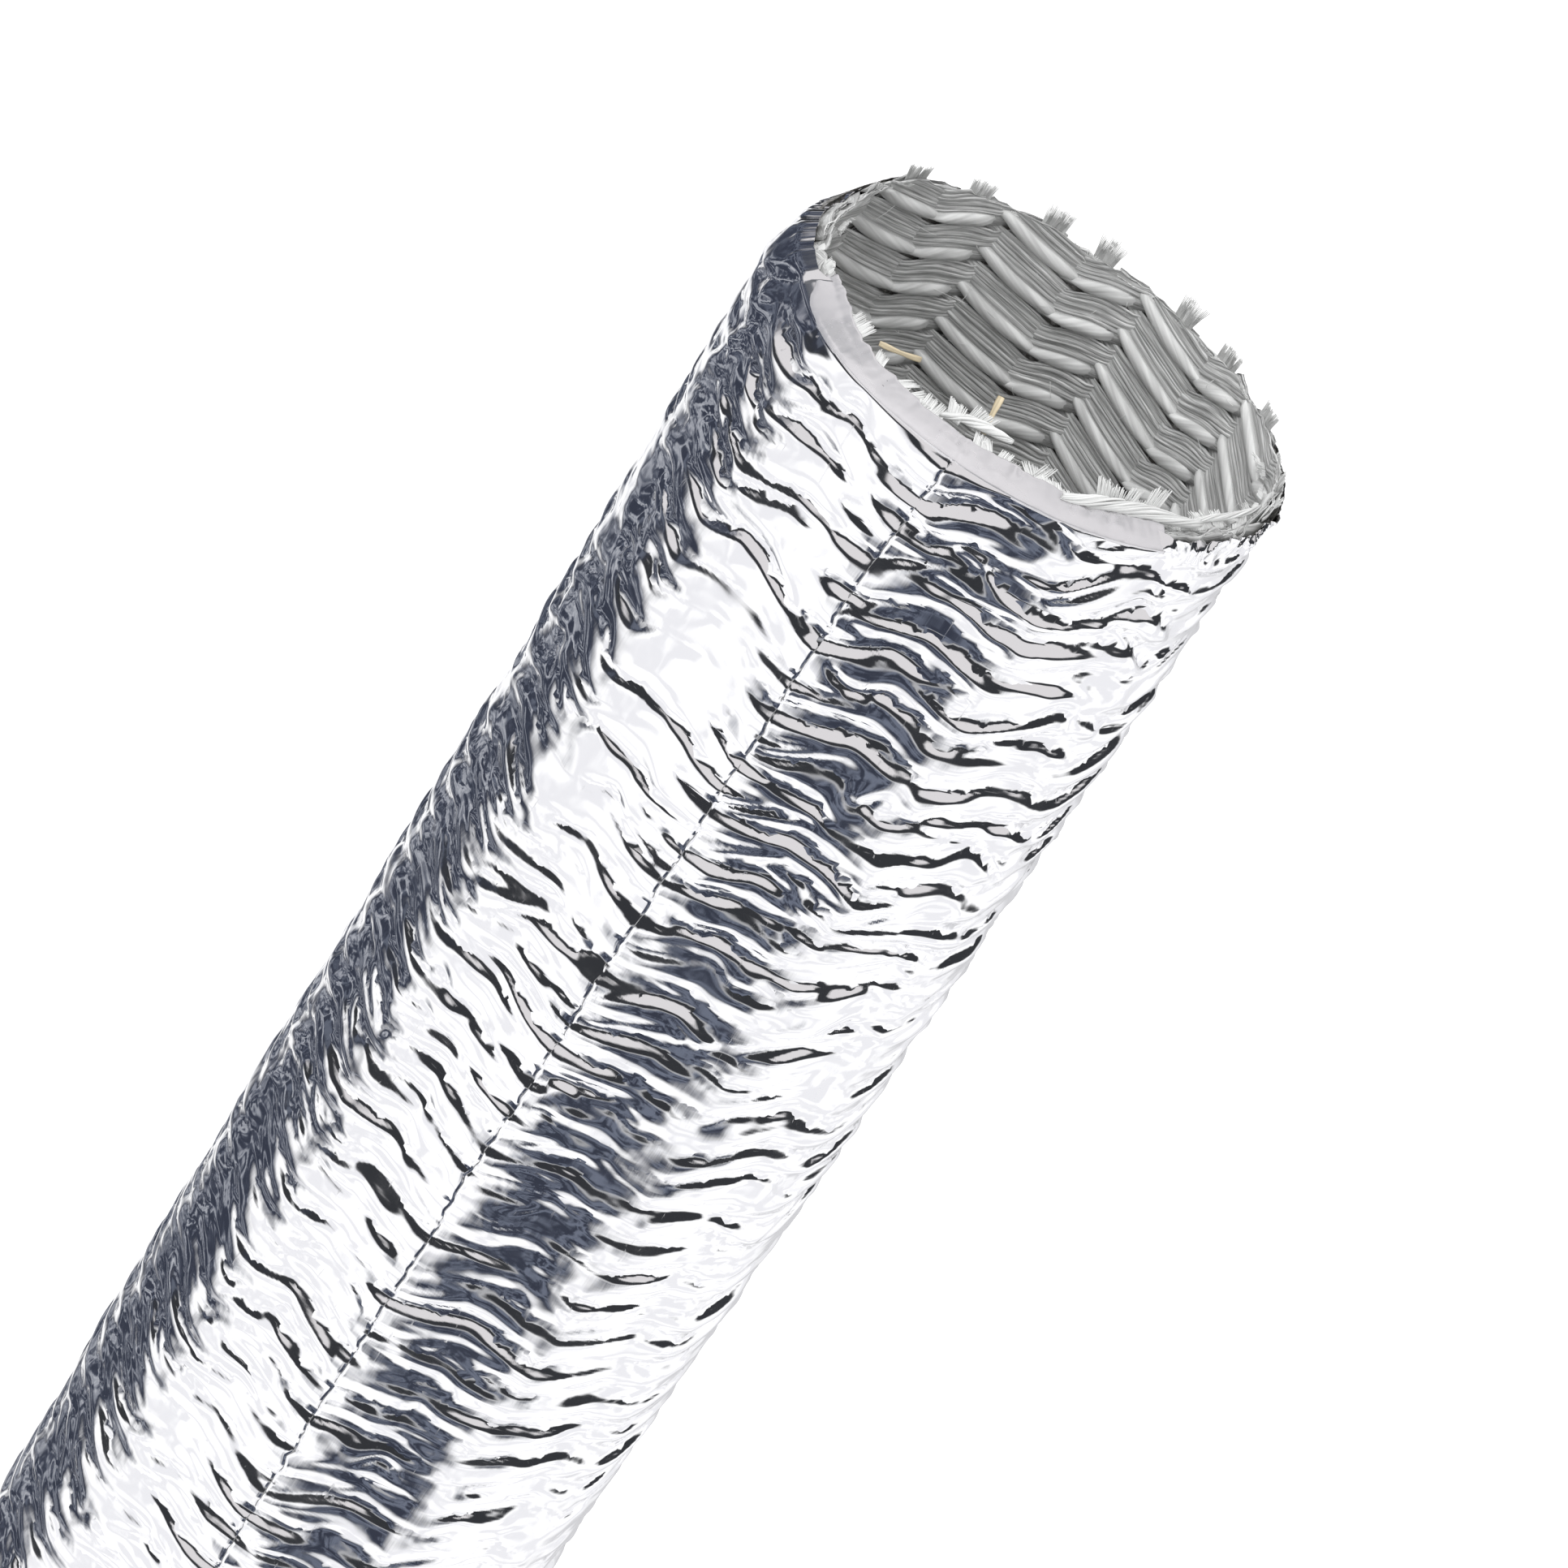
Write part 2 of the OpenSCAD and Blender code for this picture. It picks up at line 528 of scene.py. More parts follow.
# Height of each size of wrinkle, its cells round and along, and its ease in the calm part
WRINKLES = (
    (0.16 * MM, 14, 26, 0.5), (0.085 * MM, 34, 64, 0.55), (0.036 * MM, 84, 150, 0.3),
    (0.006 * MM, 200, 340, 0.0))

# The foil is never pressed in further than this
LOWEST, LOWEST_SOFT = -0.58 * MM, 0.04 * MM


def chevron(theta):
    """How far down the duct a rib lies at each angle: a rounded zigzag."""
    sharp = 0.97
    wave = np.arcsin(sharp * np.cos(TURN * (theta - CHEVRON_PEAK) / CHEVRON))
    return -CHEVRON_RISE / 2 * wave / asin(sharp)


def seam_angle(depth):
    """Angle of the lap's cut edge at each depth below the rim, a little ragged."""
    rng = np.random.default_rng(foil().seed + 5)
    at = np.linspace(0, TOP, 400)
    wander = np.interp(depth, at, rng.standard_normal(400)) * 0.09 * MM
    coarse = np.interp(depth, at[::8], rng.standard_normal(50)) * 0.15 * MM
    drift = SEAM_DRIFT * (1 - np.exp(-depth / (14 * MM)))
    return SEAM_TOP + drift + (wander + coarse) / FOIL_R


def foil_grid(columns, rows):
    """Angles and depths of the foil's mesh, finer on the near side and at the seam."""
    turn = np.linspace(-pi, pi, 2001)
    dense = 1 + 0.7 * between(turn, (-2.2, -1.8), (1.5, 1.9))
    share = np.concatenate([[0], np.cumsum((dense[1:] + dense[:-1]) / 2)])
    base = np.interp(np.arange(columns) / columns, share / share[-1], turn)
    centre = SEAM_TOP + SEAM_DRIFT
    packed = 0.13 * MM / FOIL_R
    near = np.sort(np.argsort(abs(base - centre))[:10])
    base[near] = centre + (np.arange(10) - 4.5) * packed
    theta, depth = np.meshgrid(base, TOP - rows, indexing="ij")
    pull = np.exp(-((theta - centre) / radians(6)) ** 2)
    theta = theta + (seam_angle(depth) - centre) * pull
    return theta, depth


def add_creases(height, theta, depth, rng):
    """Lens-shaped tucks along the ribs, deepest in their middles."""
    pitch = braid().pitch
    columns, lines = theta[:, 0], depth[0]
    for _ in range(foil().crease_count):
        at = rng.uniform(-pi, pi)
        down = TOP * rng.uniform(0, 1) ** 1.12
        shape = rng.uniform(0, 1, 8)
        skip = CALM_SKIP if down < CALM_DEPTH else LOWER_SKIP
        if CALM_FROM < at < CALM_TO and shape[0] < skip:
            continue
        rib = round(down / pitch) * pitch + rng.normal(0, 0.20) * pitch
        low = smooth(LOWER_FROM, LOWER_TO, down)
        half = (0.10 + 0.28 * shape[1] ** 1.2) * (1 + 0.45 * low)
        drop = foil().crease_depth * (0.22 + 0.78 * shape[2] ** 0.8)
        drop *= 1 + 0.25 * np.exp(-down / (26 * MM))
        drop *= 1 - 0.30 * low
        lean = rng.normal(0, 0.13)
        below = (0.65 + 0.95 * shape[3]) * (1 + 0.25 * low) * MM
        above = (0.8 + 2.2 * shape[4]) * MM
        fork = (shape[5] - 0.5) * 1.3 * MM
        off = wrapped(columns - at)
        cols = np.flatnonzero(abs(off) < half)
        if not len(cols):
            continue
        t = off[cols] / half
        middle = rib + chevron(columns[cols]) + lean * off[cols] * FOIL_R
        middle += 0.22 * MM * np.sin(shape[6] * TURN + t * 4) + fork * t * t * np.sign(t)
        rows = np.flatnonzero((lines > middle.min() - above) & (lines < middle.max() + below))
        if not len(rows):
            continue
        taper = np.clip(1 - abs(t) ** 1.8, 0, 1)[:, None]
        width = 0.30 + 0.70 * taper
        v = lines[rows][None, :] - middle[:, None]
        down_side = np.clip(1 - v / (below * width), 0, 1)
        up_side = np.clip(1 + v / (above * width), 0, 1)
        cut = np.where(v > 0, down_side, up_side ** 1.5) * taper ** 0.9
        part = np.ix_(cols, rows)
        height[part] = np.minimum(height[part] - 0.35 * drop * cut, 0.10 * MM - drop * cut
                                  + 0.65 * height[part])


def foil_height(theta, depth):
    """Height of the crumpled foil above its middle radius."""
    rng = np.random.default_rng(foil().seed)
    pitch = braid().pitch
    u, v = theta / TURN, depth / TOP

    def noise(nu, nv):
        return soft_noise(rng, u, v, nu, nv)

    wobble = 0.22 * noise(20, 34) + 0.12 * noise(60, 90)
    part = ((depth - chevron(theta)) / pitch + wobble) % 1
    pillow = 1 - abs(2 * part - 1) ** 2.0
    strength = np.clip(0.70 + 0.42 * noise(30, 70) + 0.25 * noise(12, 22), 0.08, 1.6)
    calm = np.exp(-((theta - CALM_MIDDLE) / CALM_WIDTH) ** 2)
    calm = calm * (1 - 0.7 * smooth(45 * MM, LOWER_TO, depth))
    strength = strength * (1 - 0.6 * calm)
    height = foil().rib_height * strength * (pillow - 0.6)
    column = np.cos(TURN * (theta - CHEVRON_PEAK) / (CHEVRON / 2) + 0.7 * noise(20, 30))
    height -= 0.07 * MM * column * (0.6 + 0.5 * noise(20, 60)) * (1 - 0.6 * calm)
    for size, cells_round, cells_along, ease in WRINKLES:
        height += size * noise(cells_round, cells_along) * (1 - ease * calm)
    add_creases(height, theta, depth, rng)
    height = (np.roll(height, 1, 0) + 2 * height + np.roll(height, -1, 0)) / 4
    height[:, 1:-1] = (height[:, :-2] + 2 * height[:, 1:-1] + height[:, 2:]) / 4
    rim = smooth(0.3 * MM, 1.9 * MM, depth)
    height *= 0.15 + 0.85 * rim
    height *= 1 - folded(theta) * (1 - smooth(0.8 * MM, 2.0 * MM, depth))
    pleat = between(wrapped(theta), *PLEATED)
    beads = np.sin(theta * FOIL_R / (0.24 * MM) + 2.5 * noise(120, 200))
    beads *= np.exp(-(depth / (2.1 * MM)) ** 2)
    height += pleat * MM * (0.16 * beads + 0.20 * noise(140, 260) * np.exp(
        -(depth / (2.3 * MM)) ** 2))
    return LOWEST + LOWEST_SOFT * np.logaddexp(
        0, (height - 0.02 * MM - LOWEST) / LOWEST_SOFT)


def folded(theta):
    """1 where the foil is folded in over the cut end, 0 elsewhere round the rim."""
    ends = ((end - FOLD_SOFT, end + FOLD_SOFT) for end in (FOLD_FROM, FOLD_TO))
    return between(wrapped(theta), *ends)


def fold_inset(depth):
    """How far the fold has turned in at a depth below the rim."""
    t = np.clip((FOLD_DROP - depth) / (FOLD_DROP + FOLD_RISE), 0, 1)
    return FOLD_IN * (0.35 * t + 0.65 * t ** 2.2)


def side_inset(theta, depth):
    """How far foil and braid curve in together at the rim, mostly on the left side."""
    side = wrapped(theta)
    left = between(side, *SQUEEZED)
    t = np.clip(1 - depth / (7 * MM), 0, 1)
    lip = np.clip(1 - depth / (0.9 * MM), 0, 1)
    near = smooth(0.0, 0.3, np.cos(side))
    return left * (2.0 * t ** 2 + 0.8 * lip) * MM + (1 - left) * near * 0.30 * MM * lip


def rim_wave(theta):
    """Unevenness of the cut round the rim."""
    rng = np.random.default_rng(foil().seed + 41)
    u = theta / TURN
    waves = (size * soft_noise(rng, u, 0 * u, cells, 1) for size, cells in RIM_WAVES)
    return sum(waves) * MM


def foil_radius(theta, depth):
    """Radius of the foil's outer face, with the groove at the seam's edge."""
    off = (theta - seam_angle(depth)) * FOIL_R
    groove = 0.10 * MM * np.exp(-(off / (0.11 * MM)) ** 2)
    r = FOIL_R - 0.02 * MM + foil_height(theta, depth) - groove
    r = r - side_inset(theta, depth)
    tucked = fold_inset(depth) * 1.10 + 0.12 * MM * smooth(1.35 * MM, 0.95 * MM, depth)
    return r - folded(theta) * tucked


def grid_normals(points):
    """Outward normals of a closed ring of points."""
    around = np.roll(points, -1, 0) - np.roll(points, 1, 0)
    along = np.gradient(points, axis=1)
    n = np.cross(along, around)
    n /= np.linalg.norm(n, axis=-1, keepdims=True)
    outward = points.copy()
    outward[..., 2] = 0
    flip = np.sign((n * outward).sum(-1, keepdims=True))
    return n * flip


def shell_faces(columns, rows):
    """Faces of a fine outer wall, a coarser inner wall, and both edges."""
    step = INNER_STEP

    def wall(count, height, base):
        i, j = np.meshgrid(np.arange(count), np.arange(height - 1), indexing="ij")
        nxt = (i + 1) % count
        a, b = base + i * height + j, base + nxt * height + j
        return np.stack([a, a + 1, b + 1, b], -1).reshape(-1, 4)

    few, low = columns // step, (rows - 1) // step + 1
    base = columns * rows
    edges = []
    k = np.arange(few)
    for row, in_row in ((0, 0), (rows - 1, low - 1)):
        here = base + k * low + in_row
        after = base + (k + 1) % few * low + in_row
        tris = [
            (((k * step + m) % columns) * rows + row,
             ((k * step + m + 1) % columns) * rows + row,
             here if m < step // 2 else after) for m in range(step)]
        tris.append((((k * step + step // 2) % columns) * rows + row, after, here))
        for tri in tris:
            t = np.stack(tri, -1)
            edges.append(t[:, ::-1] if row else t)
    return [wall(columns, rows, 0), wall(few, low, base)[:, ::-1], *edges]


def shell_points(points, normals, thickness):
    """Outer points, then fewer inner ones."""
    step = INNER_STEP
    inner = points[::step, ::step] - normals[::step, ::step] * thickness
    verts = np.concatenate([points.reshape(-1, 3), inner.reshape(-1, 3)])
    ways = np.concatenate([normals.reshape(-1, 3), -normals[::step, ::step].reshape(-1, 3)])
    return verts, ways


def row_heights():
    """Heights of the mesh rows in each span; the inner wall has fewer."""
    result = []
    for _, (low, high) in spans():
        size = foil().row_fine if low > 0.4 * TOP else foil().row_coarse
        count = INNER_STEP * round((high - low) / size / INNER_STEP) + 1
        result.append(np.linspace(low, high, count))
    return result


@cache
def foil_surface():
    """Points and normals of the foil's outer face, and its rows in each span."""
    columns = foil().columns // 1
    heights = row_heights()
    rows = np.concatenate([heights[0], *[h[1:] for h in heights[1:]]])
    theta, depth = foil_grid(columns, rows)
    far = 0.45 * MM * smooth(0.35, -0.2, np.cos(theta))
    z = TOP - depth + (rim_wave(theta) - far) * (1 - smooth(0, 4 * MM, depth)) * (
        1 - folded(theta))
    points = ring_point(theta, foil_radius(theta, depth), z)
    parts, first = [], 0
    for some in heights:
        parts.append(slice(first, first + len(some)))
        first += len(some) - 1
    return theta, points, grid_normals(points), parts


def foil_radius_near(theta, depth):
    """Radius of the foil as meshed, at any angles near the seam."""
    angles, points, _, _ = foil_surface()
    centre = SEAM_TOP + SEAM_DRIFT
    col = int(np.argmin(abs(angles[:, 0] - centre)))
    cols = np.arange(col - 8, col + 9)
    levels = TOP - points[cols, :, 2]
    radii = np.hypot(points[cols, :, 0], points[cols, :, 1])
    result = np.empty(np.broadcast_shapes(theta.shape, depth.shape))
    for k in range(result.shape[1]):
        row = int(np.argmin(abs(levels[8] - depth[0, k])))
        result[:, k] = np.interp(theta[:, k], angles[cols, row], radii[:, row])
    return result


def make_foil_jacket():
    """The foil jacket, as a thin closed tube in each span."""
    _, points, normals, parts = foil_surface()
    for span, part in enumerate(parts):
        verts, ways = shell_points(points[:, part], normals[:, part], foil().thickness)
        faces = shell_faces(len(points), part.stop - part.start)
        obj = mesh_object(
            f"foil_jacket_span_{span + 1}", verts, faces, material("Bright Foil"),
            normals=ways)
        join_frame(obj, span)
        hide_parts(*cad_nodes(span, "foil_jacket", "foil_flex_ring"))


def sheet_solid(outer, inner):
    """Vertices and faces of a closed thin sheet between two equal grids of points."""
    columns, rows = outer.shape[:2]
    n = columns * rows
    index = np.arange(n).reshape(columns, rows)
    quads = np.stack(
        [index[:-1, :-1], index[:-1, 1:], index[1:, 1:], index[1:, :-1]], -1).reshape(-1, 4)
    rim = np.concatenate([
        index[:, 0], index[-1, 1:], index[-2::-1, -1], index[0, -2:0:-1]])
    after = np.roll(rim, -1)
    wall = np.stack([rim, after, after + n, rim + n], -1)
    verts = np.concatenate([outer.reshape(-1, 3), inner.reshape(-1, 3)])
    return verts, [quads, quads[:, ::-1] + n, wall]


def make_seam_lap():
    """The foil's upper edge: a strip on the jacket that ends at the seam."""
    theta, points, normals, parts = foil_surface()
    centre = SEAM_TOP + SEAM_DRIFT
    angles = theta[:, 0] - (seam_angle(np.array([TOP]))[0] - centre)
    last = int(np.argmin(abs(angles - centre)))
    first = int(np.searchsorted(theta[:, 0], theta[last, 0] - LAP_W / FOIL_R))
    cols = slice(first, last + 1)
    grow = np.linspace(0, 1, last + 1 - first)[:, None, None]
    lift = (-0.04 + 0.12 * smooth(0, 0.8, grow)) * MM
    for span, part in enumerate(parts):
        base, way = points[cols, part], normals[cols, part]
        verts, faces = sheet_solid(base + way * lift, base + way * (lift - foil().thickness))
        ways = np.concatenate([way.reshape(-1, 3), -way.reshape(-1, 3)])
        obj = mesh_object(
            f"foil_seam_lap_span_{span + 1}", verts, faces, material("Lapped Foil"),
            normals=ways)
        join_frame(obj, span)
        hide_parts(*cad_nodes(span, "foil_seam_lap", None))


# Places across the bead of glue, in widths, and their heights in mm
GLUE_BEAD = (-0.5, -0.06), (-0.25, 0.03), (0, 0.05), (0.25, 0.03), (0.5, -0.06)


def make_seam_glue_shade():
    """Glue squeezed out along the lap's cut edge: a thin uneven dark line of painted shade,
    standing in for the shadow of the lap's step.
    """
    rng = np.random.default_rng(foil().seed + 27)
    for span, (low, high) in spans():
        z = np.linspace(low, high, round((high - low) / (0.3 * MM)))
        depth = np.maximum(TOP - z, 0.9 * MM)
        centre = seam_angle(depth)
        width = (0.17 + 0.05 * np.clip(rng.standard_normal(len(z)), -1.5, 1.5)) * MM
        across, rise = np.array(GLUE_BEAD).T[:, :, None]
        theta = centre + across * width / FOIL_R
        rise = rise * MM
        r = foil_radius_near(theta, depth + 0 * theta)
        outer = ring_point(theta, r + rise, TOP - depth + 0 * theta)
        inner = ring_point(theta, r - 0.10 * MM, TOP - depth + 0 * theta)
        verts, faces = sheet_solid(outer, inner)
        obj = mesh_object(f"seam_glue_shade_span_{span + 1}", verts, faces, material("Seam Glue Painted Shade"))
        join_frame(obj, span)


def make_rim_fold():
    """The foil turned in over the cut on the near side, with a torn inner edge."""
    rng = np.random.default_rng(foil().seed + 21)
    columns, rows = 400, 22
    theta = np.linspace(FOLD_FROM - radians(1), FOLD_TO + radians(1.5), columns)[:, None]
    t = np.linspace(0, 1, rows)[None, :]
    u = np.broadcast_to(theta / TURN, (columns, rows))
    torn = 0.30 * soft_noise(rng, u[:, :1], 0 * theta, 90, 1)
    torn += 0.22 * soft_noise(rng, u[:, :1], 0 * theta, 240, 1)
    reach = np.clip(1 + 0.45 * torn, 0.55, 1.6)
    from_right = (theta - theta[0]) / np.ptp(theta)
    from_left = (theta[-1] - theta) / np.ptp(theta)
    ends = np.minimum(smooth(0, 0.03, from_right), smooth(0, 0.02, from_left))
    reach = reach * (0.55 + 0.45 * ends)
    low = smooth(0, 0.14, from_left)
    low = (FOLD_DROP + 0.25 * MM) * (0.3 + 0.7 * low)
    depth = low - (low + FOLD_RISE) * t
    depth = np.broadcast_to(depth, (columns, rows))
    slide = u + 0.004 * t
    up = np.broadcast_to(t, u.shape)
    crumple = 0.06 * soft_noise(rng, slide, up, 90, 2)
    crumple += 0.028 * soft_noise(rng, slide, up, 300, 6)
    curl = smooth(0.55, 1.0, t) * reach
    inset = fold_inset(depth) * (0.8 + 0.2 * reach) + (reach - 1) * 0.5 * MM * curl
    cuts = soft_noise(rng, u, 0 * u, 200, 1) * smooth(radians(28), radians(36), theta)
    crumple = crumple + 0.07 * np.minimum(cuts, 0.4)
    r = FOIL_R - 0.10 * MM - inset + crumple * MM * (0.3 + t) + 0.10 * MM * smooth(0, 0.2, t)
    r = r - side_inset(theta, np.maximum(depth, 0))
    off = (theta - SEAM_TOP) * FOIL_R
    r = r - 0.09 * MM * np.exp(-(off / (0.12 * MM)) ** 2) + 0.03 * MM * (off < 0)
    z = TOP - depth + 0.06 * MM * soft_noise(rng, u, 0 * u, 160, 1) * t
    outer = ring_point(theta, r, z)
    inner = ring_point(theta, r - 0.05 * MM, z - 0.05 * MM)
    verts, faces = sheet_solid(outer, inner)
    obj = mesh_object("rim_foil_fold_visual", verts, faces, material("Folded Foil"))
    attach(obj, f"section_{SECTIONS}")
    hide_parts("rim_foil_fold")


FILM_MESH = 160, 41


def make_glue_film():
    """The film between the foil and the braid, seen through the braid's gaps; its material
    paints the shade and glints seen there.
    """
    rng = np.random.default_rng(foil().seed + 31)
    columns, rows = FILM_MESH
    theta = np.linspace(-pi, pi, columns, endpoint=False)[:, None]
    for span, (low, high) in spans():
        along = np.linspace(0, 1, rows)[None, :] + 0 * theta
        top = np.minimum(high, TOP - 0.5 * MM - folded(theta) * 1.3 * MM)
        bumps = soft_noise(rng, theta / TURN + 0 * along, along, 80, 20)
        z = low + (top - low) * along
        r = FILM_R - 0.31 * MM + 0.012 * MM * bumps * np.sin(pi * along)
        flare = smooth(TOP - 2.6 * MM, TOP - 0.6 * MM, z) * (1 - folded(theta))
        r = r - side_inset(theta, TOP - z) + 0.42 * MM * flare
        points = ring_point(theta, r, z)
        verts, ways = shell_points(points, grid_normals(points), 0.03 * MM)
        obj = mesh_object(
            f"glue_film_span_{span + 1}", verts, shell_faces(columns, rows),
            material("Glue Film Painted Shade"), normals=ways)
        join_frame(obj, span)
        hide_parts(*cad_nodes(span, "glue_film", None))


# ---------------------------------------------------------------- braid

# Straight tows stand one to a column; the slanted ones weave in and out by half a column
COLUMN = radians(18)
COLUMN_START = radians(3.7)
TOW_W = 4.5 * MM
BUNDLE_W = 1.6 * MM
WEAVE_R = 25.80 * MM
WEAVE_A = 0.31 * MM
STRAIGHT_W = 2.7 * MM
STRAIGHT_STRANDS = 7


def tow_profile(fine, shares):
    """Places across a tow from its twisted lower edge up, with a height and a strand each."""
    bundle_x = (-1, -0.88, -0.55, -0.18, 0.18, 0.55, 0.88) if fine else (-1, -0.6, 0, 0.6)
    strand_x = (-0.5, -0.36, 0.0, 0.36) if fine else (-0.5, 0.0)
    strand_h = (0.0, 0.85, 1.0, 0.85) if fine else (0.0, 1.0)
    low = -TOW_W / 2
    rows = [(low + BUNDLE_W / 2 * (1 + x), (1 - x * x) ** 0.5, 0) for x in bundle_x]
    edge = low + BUNDLE_W
    for k, share in enumerate(shares):
        width = (TOW_W - BUNDLE_W) * share
        rows += [(edge + width * (x + 0.5), h, k + 1) for x, h in zip(
            strand_x, strand_h, strict=True)]
        edge += width
    rows.append((TOW_W / 2, 0.0, braid().strands))
    v, height, strand = zip(*rows, strict=True)
    return np.array(v), np.array(height), np.array(strand)


def cut_height(theta):
    """Height that the braid is cut at: lower under the fold, a little uneven."""
    rng = np.random.default_rng(braid().seed + 1)
    u = theta / TURN
    rough = soft_noise(rng, u, 0 * u, 60, 1) + 0.7 * soft_noise(rng, u, 0 * u, 300, 1)
    far = smooth(0.3, -0.4, np.cos(theta))
    rise = 0.45 * MM * far + 0.16 * MM * rough + rim_wave(theta)
    return TOP - 0.1 * MM + rise - (1.1 * MM + rise) * folded(theta)


class Solids:
    """Closed tubes of several sides, gathered into one mesh."""

    def __init__(self):
        self.verts, self.uv, self.mark = [], [], []
        self.faces = {}
        self.count = 0

    def add(self, rings, uv, mark=0.0):
        """Rings is steps x sides x 3, wound so that the faces look outward."""
        steps, sides = rings.shape[:2]
        index = self.count + np.arange(steps * sides).reshape(steps, sides)
        nxt = np.roll(index, -1, 1)
        quads = np.stack([index[:-1], nxt[:-1], nxt[1:], index[1:]], -1).reshape(-1, 4)
        self.faces.setdefault(4, []).append(quads)
        self.faces.setdefault(sides, []).append(index[:1, ::-1])
        self.faces.setdefault(sides, []).append(index[-1:])
        self.verts.append(rings.reshape(-1, 3))
        self.uv.append(uv.reshape(-1, 2))
        self.mark.append(np.broadcast_to(mark, (steps, sides)).reshape(-1))
        self.count += steps * sides

    def build(self, name, material_name):
        """One object from all the tubes."""
        obj = mesh_object(
            name, np.concatenate(self.verts), [np.concatenate(f) for f in self.faces.values()],
            material(material_name), uv=np.concatenate(self.uv))
        # Marks the twisted bundles, which the yarn material keeps almost clear of painted
        # shade.
        twisted = obj.data.attributes.new("twisted", "FLOAT", "POINT")
        twisted.data.foreach_set("value", np.concatenate(self.mark).astype(np.float32))
        return obj


def knots_at(rng, q, count, size):
    """Smooth random values along a tow, one row for each strand."""
    knots = np.arange(np.floor(q[0]) - 1, q[-1] + 2, 0.5)
    values = rng.standard_normal((count, len(knots))) * size
    return lambda at: np.array([np.interp(at, knots, row) for row in values])


def column_angle(q):
    """Angle at a number of columns; columns where the falling tows show are wider."""
    return COLUMN_START + COLUMN * (q + 0.08 * (1 - np.cos(pi * (q - 0.5))))


def slanted_ring(q, start, lean, profile, shift, swell):
    """Rings of one run of a slanted tow, from the lower end of the run."""
    v, high, strand = profile
    bundle = strand == 0
    q = q[:, None]
    wave = np.cos(pi * q) * lean
    ends = 0.02 - 0.34 * np.sin(pi * q) if lean > 0 else 0.30 + 0 * q
    bias = np.where(bundle, ends, 0.32 if lean > 0 else -0.06)
    inward = np.clip(1.7 * (wave + bias), -1, 1)
    inward = inward * (1.5 - 0.5 * inward ** 2)
    float_in = np.clip(inward, 0, 1)
    pinch = 0.80 + 0.20 * abs(wave) ** 0.7
    across = v * pinch
    middle = (v[0] + BUNDLE_W / 2) * pinch
    leaf = 0.46 + 0.56 * np.clip(wave + 0.40 + 0.15 * np.sin(pi * q), 0, 1) ** 0.9
    across = np.where(bundle, middle + (across - middle) * leaf, across)
    across = across + np.where(bundle, 0, shift(q[:, 0])[strand].T)
    lift = np.where(bundle, 0.14 + 0.50 * float_in, 0.05 + 0.06 * float_in) * MM
    level = swell(q[:, 0])[strand].T
    height = lift * high * (1 + 0.14 * level)
    plies = np.cos(TURN * (across / (0.55 * MM) - q * lean * 2.6))
    height = height + bundle * high * 0.035 * MM * plies + ~bundle * 0.05 * MM * level
    r_mid = WEAVE_R - WEAVE_A * inward
    centre = start + lean * braid().pitch / 2 * q - lean * 0.14 * MM * np.sin(pi * q)
    centre = centre + 0.10 * MM * np.cos(TURN * q) * lean
    back = np.linspace(v[-1], v[0], 5) * pinch
    r_back = WEAVE_R + 0.13 * MM - WEAVE_A * inward[:, [-1]] + 0 * back
    z = np.concatenate([centre + across, centre + back], 1)
    theta = column_angle(q)
    z = np.clip(z, 0, cut_height(theta))
    r = np.concatenate([r_mid - height, r_back], 1) - side_inset(theta, TOP - z)
    rings = ring_point(theta, r, z)
    along = q * COLUMN * BORE_R / MM + 0 * z
    side = np.concatenate([across, back], 1) / MM
    mark = np.concatenate([bundle + 0 * across, 0 * back], 1)
    side = side - 0.30 * along * mark * lean
    return rings, np.stack([along, side], -1), mark


def add_tow(parts, start, lean, rng):
    """One slanted tow from the lower end of the duct to the upper one."""
    rise = braid().pitch / 2
    margin = TOW_W * 0.40
    ends = sorted([(-margin - start) / rise * lean, (TOP + margin - start) / rise * lean])
    q_all = np.linspace(*ends, round((ends[1] - ends[0]) * 10) + 1)
    where = span_of(start + lean * rise * q_all)
    shift = knots_at(rng, q_all, braid().strands + 1, 0.085 * MM)
    swell = knots_at(rng, q_all, braid().strands + 1, 1.0)
    shares = 1 + 0.9 * rng.uniform(-0.5, 0.6, braid().strands)
    shares /= shares.sum()
    for span in range(SECTIONS + 1):
        fine = span >= SECTIONS - 1
        inside = np.flatnonzero(where == span)
        q = q_all[max(inside[0] - 1, 0):inside[-1] + 2]
        if not fine:
            q = np.append(q[:-1:2], q[-1])
        profile = tow_profile(fine, shares)
        rings, uv, mark = slanted_ring(q, start, lean, profile, shift, swell)
        uv = uv + (0, 37.0 * (start / MM))
        parts[span].add(rings[:, ::-1], uv[:, ::-1], mark[:, ::-1])


def make_slanted_tows(lean, name, layer, flex):
    """Slanted tows that rise one way round the duct, as far as the cut end."""
    rng = np.random.default_rng(braid().seed + 3 - lean)
    parts = [Solids() for _ in range(SECTIONS + 1)]
    offset = 0 if lean > 0 else braid().pitch / 2 + 0.28 * MM
    for number in range(braid().tows):
        add_tow(parts, offset + number * braid().pitch, lean, rng)
    for span, solids in enumerate(parts):
        obj = solids.build(f"{name}_span_{span + 1}", "Slanted Tows")
        join_frame(obj, span)
        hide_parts(*cad_nodes(span, layer, flex))


